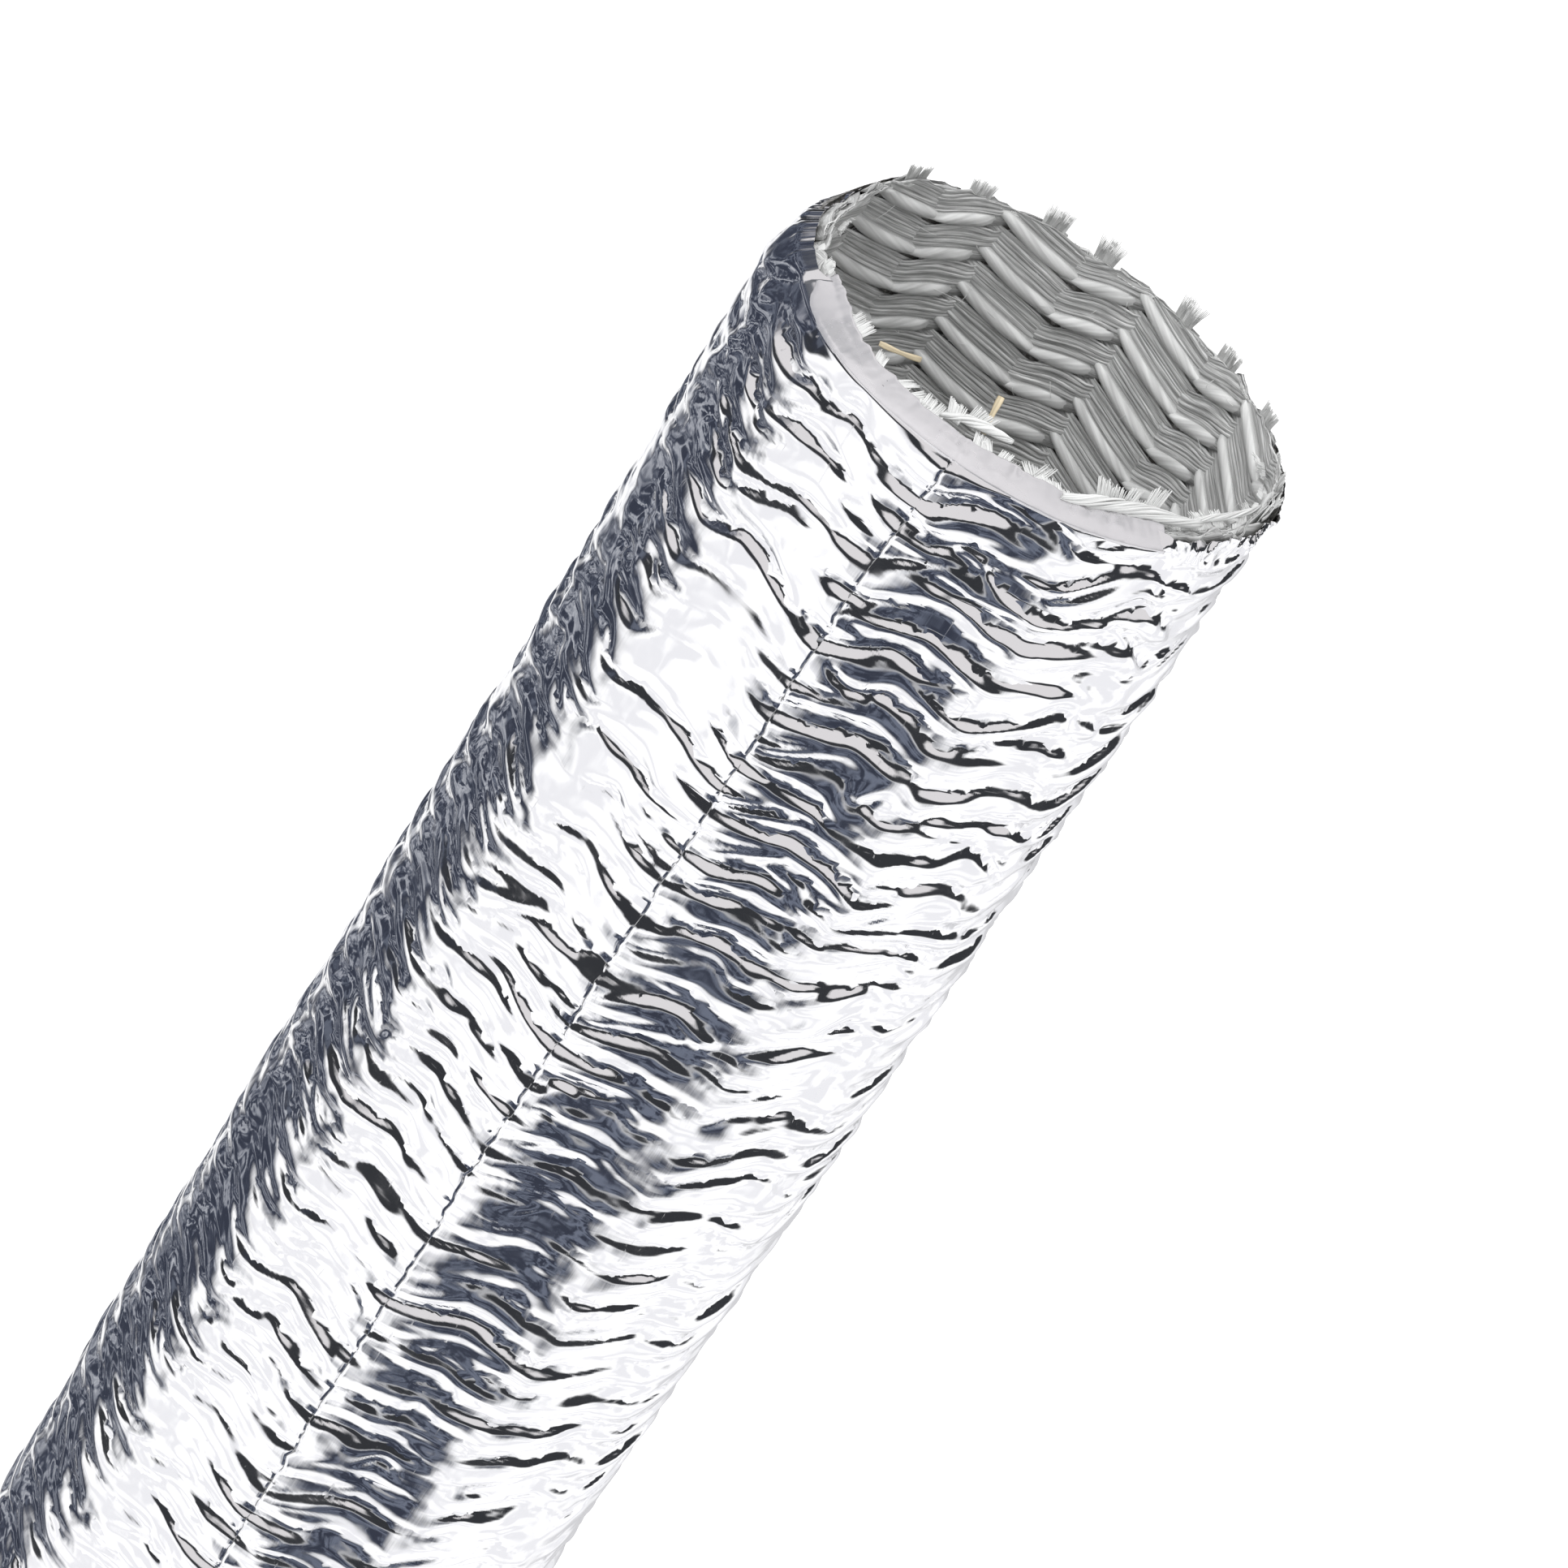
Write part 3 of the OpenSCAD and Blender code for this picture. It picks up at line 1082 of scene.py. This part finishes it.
def make_straight_tows():
    """Flat straight tows held between the two slanted layers."""
    rng = np.random.default_rng(braid().seed + 9)
    columns = 2 * braid().tows
    places = 2 * STRAIGHT_STRANDS + 1
    x = np.linspace(-0.5, 0.5, places)
    ridge = np.where(np.arange(places) % 2, 0.07, 0.02) * MM
    for span, (low, high) in spans():
        solids = Solids()
        for k in range(columns):
            centre = COLUMN_START + COLUMN * k
            top = min(high, float(cut_height(np.array([centre]))[0]) - 0.2 * MM)
            z = np.linspace(low, top, 14)[:, None]
            drift = np.interp(z[:, 0], z[::3, 0], rng.standard_normal(len(z[::3])))
            drift = drift[:, None] * 0.06 * MM * np.sin(pi * (z - low) / (high - low))
            theta = centre + (x[None, :] * STRAIGHT_W + drift) / BORE_R
            inset = side_inset(centre, TOP - z)
            front = ring_point(theta, WEAVE_R - 0.06 * MM - ridge - inset, z)
            back = ring_point(theta[:, ::-1][:, ::4], WEAVE_R + 0.06 * MM - inset, z)
            rings = np.concatenate([front, back], 1)
            side = np.concatenate([x, x[::-1][::4]]) * STRAIGHT_W / MM + 17.0 * k
            along = np.broadcast_to(z / MM, rings.shape[:2])
            solids.add(rings[:, ::-1], np.stack([along, side + 0 * along], -1)[:, ::-1])
        obj = solids.build(f"straight_tows_span_{span + 1}", "Straight Tows")
        join_frame(obj, span)
        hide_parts(*cad_nodes(span, "straight_tows", None))


# ---------------------------------------------------------------- frayed end

# Angle and height of each tuft
TUFTS = ((131, 1.5), (149, 1.4), (167.5, 2.1), (180.5, 2.2), (202.5, 2.5), (217, 1.5),
         (236.5, 1.3), (262, 0.9), (112, 0.8))


def add_fibre(solids, path, width, thick, tag, sides):
    """A closed flat strand along a path; its width lies round the duct.

    The tag sets its place in the yarn's pattern, so that no two strands look alike.
    """
    path = np.asarray(path)
    tangent = np.gradient(path, axis=0)
    tangent /= np.linalg.norm(tangent, axis=1, keepdims=True)
    out = path * (1, 1, 0) + (0, 0, 1e-6)
    out /= np.linalg.norm(out, axis=1, keepdims=True)
    across = np.cross(out, tangent)
    across /= np.linalg.norm(across, axis=1, keepdims=True)
    face = np.cross(tangent, across)
    turn = np.arange(sides) / sides * TURN
    w = np.broadcast_to(width, len(path))[:, None, None] / 2
    t = np.broadcast_to(thick, len(path))[:, None, None] / 2
    rings = path[:, None] + across[:, None] * w * np.cos(turn)[:, None] + (
        face[:, None] * t * np.sin(turn)[:, None])
    steps = np.linalg.norm(np.diff(path, axis=0), axis=1)
    along = np.concatenate([[0], np.cumsum(steps)])[:, None] / MM + 0 * turn
    side = w[..., 0] * np.cos(turn) / MM + tag
    solids.add(rings, np.stack([along, side], -1))


def make_tufts():
    """Cut ends of the straight tows, standing up from the far side of the rim."""
    rng = np.random.default_rng(braid().seed + 15)
    solids = Solids()
    for at, tall in TUFTS:
        count = rng.integers(7, 10)
        for k in range(count):
            x = (k - (count - 1) / 2) * 0.30 * MM + rng.normal(0, 0.03) * MM
            top = (tall * (1 - 0.25 * rng.uniform())) * MM
            fan, lean = x * 0.16 + rng.normal(0, 0.10) * MM, rng.normal(0.05, 0.12) * MM
            for hair in range(5):
                y = (hair - 2) * 0.062 * MM
                far = top * (1 - 0.20 * rng.uniform() ** 2) + 0.7 * MM
                t = np.linspace(0, 1, 6)
                z = TOP - 3.0 * MM + (far + 3.0 * MM) * t
                bend = np.clip((z - TOP) / (2 * MM), 0, 2) ** 1.5
                angle = radians(at) + (x + y + bend * (fan + y * 0.8)) / BORE_R
                r = WEAVE_R - 0.02 * MM * (hair % 2) + lean * bend
                r = r - side_inset(angle, TOP - z)
                size = 0.105 * MM * (1 - 0.45 * t ** 6)
                add_fibre(solids, ring_point(angle, r, z), size, size, at * 10 + k, 5)
    obj = solids.build("frayed_tufts_visual", "Slanted Tows")
    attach(obj, f"section_{SECTIONS}")
    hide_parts("frayed_tufts")


def add_fan(solids, rng, place, way, length, spread, count, size):
    """Flat locks of strands, cut at different lengths, side by side round the duct."""
    angle, r, z = place
    inward, up, sideways = way
    locks = max(1, count // 22)
    cut = rng.uniform(0.40, 1.0, locks)
    lean = rng.normal(0, 0.16, locks)
    lift = rng.normal(0, 0.12, locks)
    t = np.linspace(0, 1, 7)
    for k in range(count):
        u = k / max(count - 1, 1) - 0.5
        lock = min(int((u + 0.5) * locks), locks - 1)
        long = length * cut[lock] * rng.uniform(0.88, 1.06)
        swing = sideways + u * spread[1] + lean[lock] + rng.normal(0, 0.025)
        turn = u * spread[0] + swing * long * t + 0.3 * lean[lock] * long * t ** 2
        path = ring_point(
            angle + turn / r,
            r - inward * long * t - rng.normal(0, 0.03) * long * t ** 2,
            z + (up + lift[lock]) * long * t + rng.normal(0, 0.03) * long * t ** 2)
        w = size * (1 - 0.35 * t ** 4) * rng.uniform(0.8, 1.3)
        add_fibre(solids, path, w, w * 0.45, rng.uniform(0, 90), 5)


FANS = (
    # angle, radius, height over the rim, inward, up, sideways, length, base, spread, count
    (-33, 24.3, 0.5, 0.15, 0.95, 0.10, 3.2, 3.4, 0.30, 34),
    (-41, 23.7, 0.6, 0.35, 0.90, -0.25, 3.0, 3.0, 0.50, 30),
    (8, 23.6, 0.8, 0.20, 0.85, 0.15, 2.2, 1.2, 0.40, 18),
    (4, 22.8, 0.9, 0.50, 0.75, -0.15, 2.2, 1.6, 0.50, 20),
    (14, 24.9, 0.2, 0.85, 0.35, 0.10, 3.2, 3.4, 0.20, 36),
    (21, 24.8, 0.2, 0.90, 0.30, -0.25, 3.6, 3.0, 0.25, 34),
    (27, 24.6, 0.1, 0.85, 0.25, 0.20, 2.4, 2.6, 0.25, 26),
    (-3, 24.9, 0.2, 0.80, 0.40, 0.35, 3.0, 3.4, 0.25, 34),
    (-10, 24.9, 0.2, 0.75, 0.30, -0.45, 3.8, 3.6, 0.20, 36),
    (-17, 24.9, 0.2, 0.80, 0.25, 0.25, 3.0, 3.4, 0.25, 32),
    (-24, 24.8, 0.2, 0.75, 0.25, -0.30, 2.8, 3.0, 0.25, 28),
    (42, 23.0, 0.2, 0.80, 0.40, 0.30, 2.6, 2.6, 0.20, 28),
    (50, 22.8, 0.1, 0.60, 0.30, -0.20, 1.8, 2.0, 0.30, 16),
    (64, 23.2, 0.0, 0.40, 0.60, -0.20, 1.8, 2.4, 0.30, 18),
    (82, 23.3, 0.0, 0.30, 0.50, 0.20, 1.8, 3.0, 0.30, 20),
    (100, 23.8, 0.0, 0.30, 0.60, -0.20, 1.8, 3.0, 0.30, 20),
    (-56, 24.8, 0.3, 0.60, 0.55, -0.30, 2.6, 3.2, 0.30, 32),
    (-64, 24.9, 0.2, 0.60, 0.45, 0.20, 2.8, 3.2, 0.35, 30),
    (-74, 25.2, 0.1, 0.30, 0.60, 0.15, 2.6, 3.0, 0.40, 26),
    (-84, 25.8, 0.1, -0.05, 0.75, -0.10, 2.4, 3.4, 0.45, 26),
    (-93, 26.1, 0.0, -0.20, 0.80, 0.10, 2.2, 3.4, 0.45, 26),
    (-101, 26.3, 0.0, -0.10, 0.80, 0.10, 1.8, 3.4, 0.45, 24),
    (-110, 26.2, 0.0, -0.05, 0.80, 0.10, 1.6, 3.4, 0.45, 22),
)


# Small fans besides those: on the near side, under the fold, and on the far rim
NEAR_FANS, FAR_FANS = 46, 44


def make_frayed_fans():
    """Sprays of broken filaments inside the fold and round the right side."""
    rng = np.random.default_rng(braid().seed + 17)
    solids = Solids()
    for at, r, z, inward, up, sideways, length, base, spread, count in FANS:
        add_fan(
            solids, rng, (radians(at), r * MM, TOP + z * MM - 0.5 * MM),
            (inward, up, sideways), length * MM, (base * MM, spread), count * 2, 0.13 * MM)
    for _ in range(NEAR_FANS):
        at = radians(rng.uniform(-112, 118))
        drop = rng.uniform(0.2, 1.2) * MM
        r = 25.0 * MM - side_inset(at, 0.2 * MM) - 0.2 * MM
        way = (rng.uniform(0.3, 0.9), rng.uniform(-0.2, 0.5), rng.normal(0, 0.4))
        add_fan(
            solids, rng, (at, r, TOP - drop), way, rng.uniform(0.9, 2.0) * MM,
            (rng.uniform(0.8, 2.6) * MM, 0.3), rng.integers(9, 20), 0.11 * MM)
    for _ in range(FAR_FANS):
        at = radians(rng.uniform(116, 250))
        r = 25.6 * MM - side_inset(at, 0.2 * MM)
        way = (rng.uniform(-0.1, 0.3), rng.uniform(0.5, 1.0), rng.normal(0, 0.5))
        add_fan(
            solids, rng, (at, r, TOP - 0.3 * MM), way, rng.uniform(0.5, 1.3) * MM,
            (rng.uniform(0.7, 2.4) * MM, 0.4), rng.integers(12, 30), 0.11 * MM)
    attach(solids.build("frayed_fans", "Loose Glass"), f"section_{SECTIONS}")


def make_loose_bundles():
    """Two slack bundles of glass lying along the folded edge."""
    rng = np.random.default_rng(braid().seed + 19)
    solids = Solids()
    runs = (
        ((-20, 25.3, 0.35), (-30, 24.5, 0.75), (-42, 24.1, 0.85), (-57, 24.8, 0.65), 34, 1.5),
        ((11, 23.9, 0.3), (6, 23.1, 1.05), (0, 22.5, 1.3), (-6, 22.3, 1.3), 20, 0.85),
        ((-50, 24.5, 0.2), (-62, 24.0, 0.6), (-74, 24.4, 0.5), (-88, 25.0, -0.3), 16, 0.60),
    )
    for *corners, count, thick in runs:
        t = np.linspace(0, 1, 26)
        at = np.linspace(0, 1, len(corners))
        angle, r, z = (np.interp(t, at, [c[k] for c in corners]) for k in range(3))
        kernel = np.array([1, 2, 3, 2, 1]) / 9
        angle[2:-2], r[2:-2], z[2:-2] = (
            np.convolve(a, kernel, "valid") for a in (angle, r, z))
        fat = np.sin(pi * np.clip(t * 0.86 + 0.07, 0, 1)) ** 0.5
        for _ in range(count):
            phase, far = rng.uniform(0, TURN), rng.uniform(0.1, 1) ** 0.5
            twist = phase + t * rng.uniform(1.6, 2.6) * pi
            spread = far * thick * MM * fat / 2
            path = ring_point(
                np.radians(angle), r * MM + spread * np.cos(twist) * 0.8,
                TOP + z * MM + spread * np.sin(twist))
            add_fibre(solids, path, 0.34 * MM * fat, 0.22 * MM * fat, rng.uniform(0, 90), 6)
    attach(solids.build("loose_bundles", "Loose Glass"), f"section_{SECTIONS}")


def make_straws():
    """Two bits of straw caught in the frayed glass."""
    solids = Solids()
    bits = (
        ((33.5, 23.0, 0.85), (25.0, 20.6, 1.5), 0.62),
        ((1.0, 21.4, 0.0), (2.3, 19.3, 3.1), 0.72),
    )
    for low, high, width in bits:
        t = np.linspace(0, 1, 9)
        angle, r, z = (a + (b - a) * t for a, b in zip(low, high, strict=True))
        bow = 0.15 * np.sin(pi * t)
        path = ring_point(np.radians(angle), (r + bow) * MM, TOP + z * MM)
        w = width * MM * (0.85 + 0.15 * np.sin(t * 9))
        add_fibre(solids, path, w, 0.25 * MM, 0, 8)
    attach(solids.build("straw_bits", "Straw"), f"section_{SECTIONS}")


STRAY_HAIRS = 150


def make_stray_hairs():
    """Single filaments standing off the inside of the braid near the open end."""
    rng = np.random.default_rng(braid().seed + 23)
    solids = Solids()
    for _ in range(STRAY_HAIRS):
        at = rng.uniform(0, TURN)
        z = TOP - rng.uniform(0.5, 34) * MM
        z -= folded(np.array(at)) * 1.5 * MM
        length = rng.uniform(1.2, 5.0) * MM
        way = rng.uniform(-1, 1)
        t = np.linspace(0, 1, 8)
        angle = at + way * length * t / BORE_R
        stand = rng.uniform(0.1, 0.55) * MM * np.sin(pi * t * rng.uniform(0.5, 1.0))
        height = z + length * (rng.uniform(-0.5, 0.5) * t + rng.normal(0, 0.2) * t * t)
        height = np.minimum(height, TOP - 0.2 * MM)
        r = 25.15 * MM - stand - side_inset(angle, TOP - height)
        add_fibre(solids, ring_point(angle, r, height), 0.05 * MM, 0.05 * MM, at * 9, 4)
    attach(solids.build("stray_hairs", "Loose Glass"), f"section_{SECTIONS}")


# ---------------------------------------------------------------- operators

class DUCT_OT_foil_jacket(bpy.types.Operator):
    """Make the crumpled foil jacket in spans, each middle span crossing one joint between the
    sections
    """

    bl_idname = "duct.foil_jacket"
    bl_label = "Foil jacket"

    def execute(self, context):
        make_foil_jacket()
        return {"FINISHED"}


class DUCT_OT_seam_lap(bpy.types.Operator):
    """Make the foil's lapped edge along the seam, and the dark glue line of painted shade at
    its cut edge
    """

    bl_idname = "duct.seam_lap"
    bl_label = "Seam lap"

    def execute(self, context):
        make_seam_lap()
        make_seam_glue_shade()
        return {"FINISHED"}


class DUCT_OT_rim_fold(bpy.types.Operator):
    """Fold the foil in over the cut end on the near side"""

    bl_idname = "duct.rim_fold"
    bl_label = "Rim fold"

    def execute(self, context):
        make_rim_fold()
        return {"FINISHED"}


class DUCT_OT_glue_film(bpy.types.Operator):
    """Make the glue film between the foil and the braid"""

    bl_idname = "duct.glue_film"
    bl_label = "Glue film"

    def execute(self, context):
        make_glue_film()
        return {"FINISHED"}


class DUCT_OT_slanted_tows(bpy.types.Operator):
    """Make the two sets of slanted tows that cross over and under each other"""

    bl_idname = "duct.slanted_tows"
    bl_label = "Slanted tows"

    def execute(self, context):
        make_slanted_tows(1, "rising_tows", "inner_tows", "braid_flex_ring")
        make_slanted_tows(-1, "falling_tows", "outer_tows", None)
        return {"FINISHED"}


class DUCT_OT_straight_tows(bpy.types.Operator):
    """Make the straight tows that run along the duct"""

    bl_idname = "duct.straight_tows"
    bl_label = "Straight tows"

    def execute(self, context):
        make_straight_tows()
        return {"FINISHED"}


class DUCT_OT_tufts(bpy.types.Operator):
    """Make the cut ends of the straight tows that stand up round the rim"""

    bl_idname = "duct.tufts"
    bl_label = "Frayed tufts"

    def execute(self, context):
        make_tufts()
        return {"FINISHED"}


class DUCT_OT_loose_glass(bpy.types.Operator):
    """Make the sprays, slack bundles and stray hairs of loose glass at the open end"""

    bl_idname = "duct.loose_glass"
    bl_label = "Loose glass"

    def execute(self, context):
        make_frayed_fans()
        make_loose_bundles()
        make_stray_hairs()
        return {"FINISHED"}


class DUCT_OT_straws(bpy.types.Operator):
    """Make the bits of straw caught in the frayed glass"""

    bl_idname = "duct.straws"
    bl_label = "Straw bits"

    def execute(self, context):
        make_straws()
        return {"FINISHED"}


# ---------------------------------------------------------------- stage

# Place in foil radii from the middle of the open end, then the way each camera axis points
CAMERA_PLACE = (0.0, -19.389, 8.844)
CAMERA_RIGHT = (0.83655, 0.26458, 0.47978)
CAMERA_UP = (-0.54788, 0.40956, 0.72944)
CAMERA_BACK = (-0.00350, -0.87308, 0.48757)

LIGHT_PLACE, LIGHT_SIZE, LIGHT_POWER = (-0.5, -0.6, 1.6), 1.2, 14
FLOOR_HALF = 6.0

# Tones of the studio round the duct
WHITE = (1.10, 1.10, 1.11)
HAZE = (0.90, 0.90, 0.93)
NAVY = (0.040, 0.046, 0.068)
STEEL = (0.155, 0.175, 0.230)
SOFT_GREY = (0.66, 0.66, 0.68)
CHARCOAL = (0.035, 0.037, 0.042)
PALE_GREY = (0.74, 0.72, 0.73)
SLATE = (0.16, 0.165, 0.18)


def make_camera():
    """A long lens, looking down at the open end, rolled so that the duct leans."""
    data = bpy.data.cameras.new("camera")
    data.sensor_width = 36
    data.lens = bpy.context.scene.duct_stage.lens
    data.clip_start, data.clip_end = 0.01, 20
    obj = bpy.data.objects.new("camera", data)
    x, y, z = CAMERA_PLACE
    turn = Matrix((CAMERA_RIGHT, CAMERA_UP, CAMERA_BACK)).transposed().to_4x4()
    place = Vector((x * FOIL_R, y * FOIL_R, TOP + z * FOIL_R))
    obj.matrix_world = Matrix.Translation(place) @ turn
    bpy.context.scene.collection.objects.link(obj)
    bpy.context.scene.camera = obj


def make_floor():
    """A plain pale floor."""
    corners = ((-1, -1, 0), (1, -1, 0), (1, 1, 0), (-1, 1, 0))
    verts = np.array(corners) * FLOOR_HALF
    m, t, shader = new_material("Pale Floor")
    grain = node(t, "ShaderNodeTexNoise", (-400, 0), {"Scale": 400}).outputs["Fac"]
    feed(t, shader, {
        "Base Color": remap(t, (-200, 0), grain, 0.0, 1.0, 0.93, 0.97),
        "Roughness": 1.0, "Specular IOR Level": 0.0,
        "Emission Color": (1, 1, 1), "Emission Strength": 0.12})
    obj = mesh_object("floor", verts, [np.array([[0, 1, 2, 3]])], m)
    obj.visible_glossy = False


def band(tree, place, value, low, high, soft):
    """A mask that is 1 between two values, with soft edges."""
    x, y = place
    rise = remap(tree, place, value, low - soft, low + soft, curve="SMOOTHSTEP")
    fall = remap(
        tree, (x, y - 240), value, high - soft, high + soft, 1, 0, curve="SMOOTHSTEP")
    return sums(tree, (x + 200, y), "MULTIPLY", rise, fall)


def make_world():
    """A soft studio: a bright sweep, two dark flags, a dark horizon and a pale ceiling."""
    world = bpy.data.worlds.new("studio")
    bpy.context.scene.world = world
    world.use_nodes = True
    t = world.node_tree
    way = node(t, "ShaderNodeTexCoord", (-1900, 0)).outputs["Generated"]
    axes = node(t, "ShaderNodeSeparateXYZ", (-1700, 0), {0: way}).outputs
    minus_x = sums(t, (-1600, 200), "MULTIPLY", axes["X"], -1)
    minus_y = sums(t, (-1600, 0), "MULTIPLY", axes["Y"], -1)
    turn = sums(t, (-1500, 100), "ARCTAN2", minus_x, minus_y)
    azimuth = sums(t, (-1300, 100), "DEGREES", turn)
    rise = sums(t, (-1300, -100), "DEGREES", sums(t, (-1500, -100), "ARCSINE", axes["Z"]))

    # The flags: dark cloth, worn paler in places and thin in others
    folds = speckle(t, (-1000, 2300), way, 8.0)
    worn = band(t, (-800, 2300), folds, 0.55, 2.0, 0.12)
    cloth = mix_colors(t, (-600, 1900), worn, NAVY, STEEL)
    thin = remap(t, (-800, 2600), folds, 0.52, 0.68, 1.0, 0.68)
    near_flag = sums(
        t, (-700, 900), "MULTIPLY", band(t, (-1000, 600), azimuth, -55, 5, 8),
        band(t, (-1000, 1100), rise, -50, -12, 6))
    side_flag = sums(
        t, (-700, 700), "MULTIPLY", band(t, (-1000, 100), azimuth, 88, 152, 10),
        band(t, (-1000, 1600), rise, -58, 34, 9))
    side_flag = sums(t, (-500, 700), "MULTIPLY", side_flag, thin)

    # The ceiling: pale, with a dark panel each side of the far wall
    panels = sums(
        t, (-700, -1400), "MAXIMUM", band(t, (-1000, -1900), azimuth, 118, 146, 6),
        band(t, (-1000, -2400), azimuth, -152, -132, 6))
    roof = mix_colors(t, (-400, -600), panels, PALE_GREY, SLATE)

    # The sweep, then each thing that stands or hangs in front of it
    clouds = speckle(t, (-1000, 1900), way, 3.4, 1.5)
    haze = band(t, (-800, 1900), clouds, 0.56, 2.0, 0.07)
    color = WHITE
    for place, mask, tone in (
            ((-600, 900), haze, HAZE),
            ((-550, 1200), band(t, (-1000, 2800), azimuth, -230, -146, 14), SOFT_GREY),
            ((-500, 600), near_flag, cloth),
            ((-300, 400), band(t, (-1000, -400), rise, 6, 200, 2), roof),
            ((-200, 300), band(t, (-1000, -900), rise, -11, 7, 3), CHARCOAL),
            ((-100, 200), side_flag, cloth)):
        color = mix_colors(t, place, mask, color, tone)
    shiny = node(t, "ShaderNodeLightPath", (-100, -200)).outputs["Is Glossy Ray"]
    feed(t, t.nodes["Background"], {
        "Color": mix_colors(t, (300, 100), shiny, (1, 1, 1), color),
        "Strength": bpy.context.scene.duct_stage.world})


def make_lights():
    """One large soft light over the open end."""
    data = bpy.data.lights.new("top_light", "AREA")
    data.shape, data.size, data.energy = "DISK", LIGHT_SIZE, LIGHT_POWER
    obj = bpy.data.objects.new("top_light", data)
    obj.location = LIGHT_PLACE
    aim = Vector((0, 0, TOP)) - Vector(LIGHT_PLACE)
    obj.rotation_euler = aim.to_track_quat("-Z", "Y").to_euler()
    obj.visible_glossy = False
    bpy.context.scene.collection.objects.link(obj)


class DUCT_OT_stage(bpy.types.Operator):
    """Make the camera, the floor and the studio light"""

    bl_idname = "duct.stage"
    bl_label = "Stage"

    def execute(self, context):
        context.scene.view_settings.view_transform = "Standard"
        make_camera()
        make_floor()
        make_world()
        make_lights()
        return {"FINISHED"}


PIECES = (
    DUCT_OT_foil_jacket, DUCT_OT_seam_lap, DUCT_OT_rim_fold, DUCT_OT_glue_film,
    DUCT_OT_slanted_tows, DUCT_OT_straight_tows, DUCT_OT_tufts, DUCT_OT_loose_glass,
    DUCT_OT_straws,
)


class DUCT_PT_panel(bpy.types.Panel):
    """The duct's buttons and settings"""

    bl_idname = "DUCT_PT_panel"
    bl_label = "Foil Duct"
    bl_space_type = "VIEW_3D"
    bl_region_type = "UI"
    bl_category = "Duct"

    def draw(self, context):
        for operator in (DUCT_OT_stage, *PIECES):
            self.layout.operator(operator.bl_idname)
        for group in (foil(), braid(), context.scene.duct_stage):
            box = self.layout.box()
            for key in group.__annotations__:
                box.prop(group, key)


CLASSES = (DuctFoil, DuctBraid, DuctStage, DUCT_OT_stage, *PIECES, DUCT_PT_panel)


def register():
    for cls in CLASSES:
        bpy.utils.register_class(cls)
    bpy.types.Scene.duct_foil = bpy.props.PointerProperty(type=DuctFoil)
    bpy.types.Scene.duct_braid = bpy.props.PointerProperty(type=DuctBraid)
    bpy.types.Scene.duct_stage = bpy.props.PointerProperty(type=DuctStage)


def unregister():
    del bpy.types.Scene.duct_foil, bpy.types.Scene.duct_braid, bpy.types.Scene.duct_stage
    for cls in reversed(CLASSES):
        bpy.utils.unregister_class(cls)


def main():
    """Make the stage and every piece."""
    register()
    bpy.ops.duct.stage()
    for operator in PIECES:
        group, name = operator.bl_idname.split(".")
        getattr(getattr(bpy.ops, group), name)()


if __name__ == "__main__":
    main()
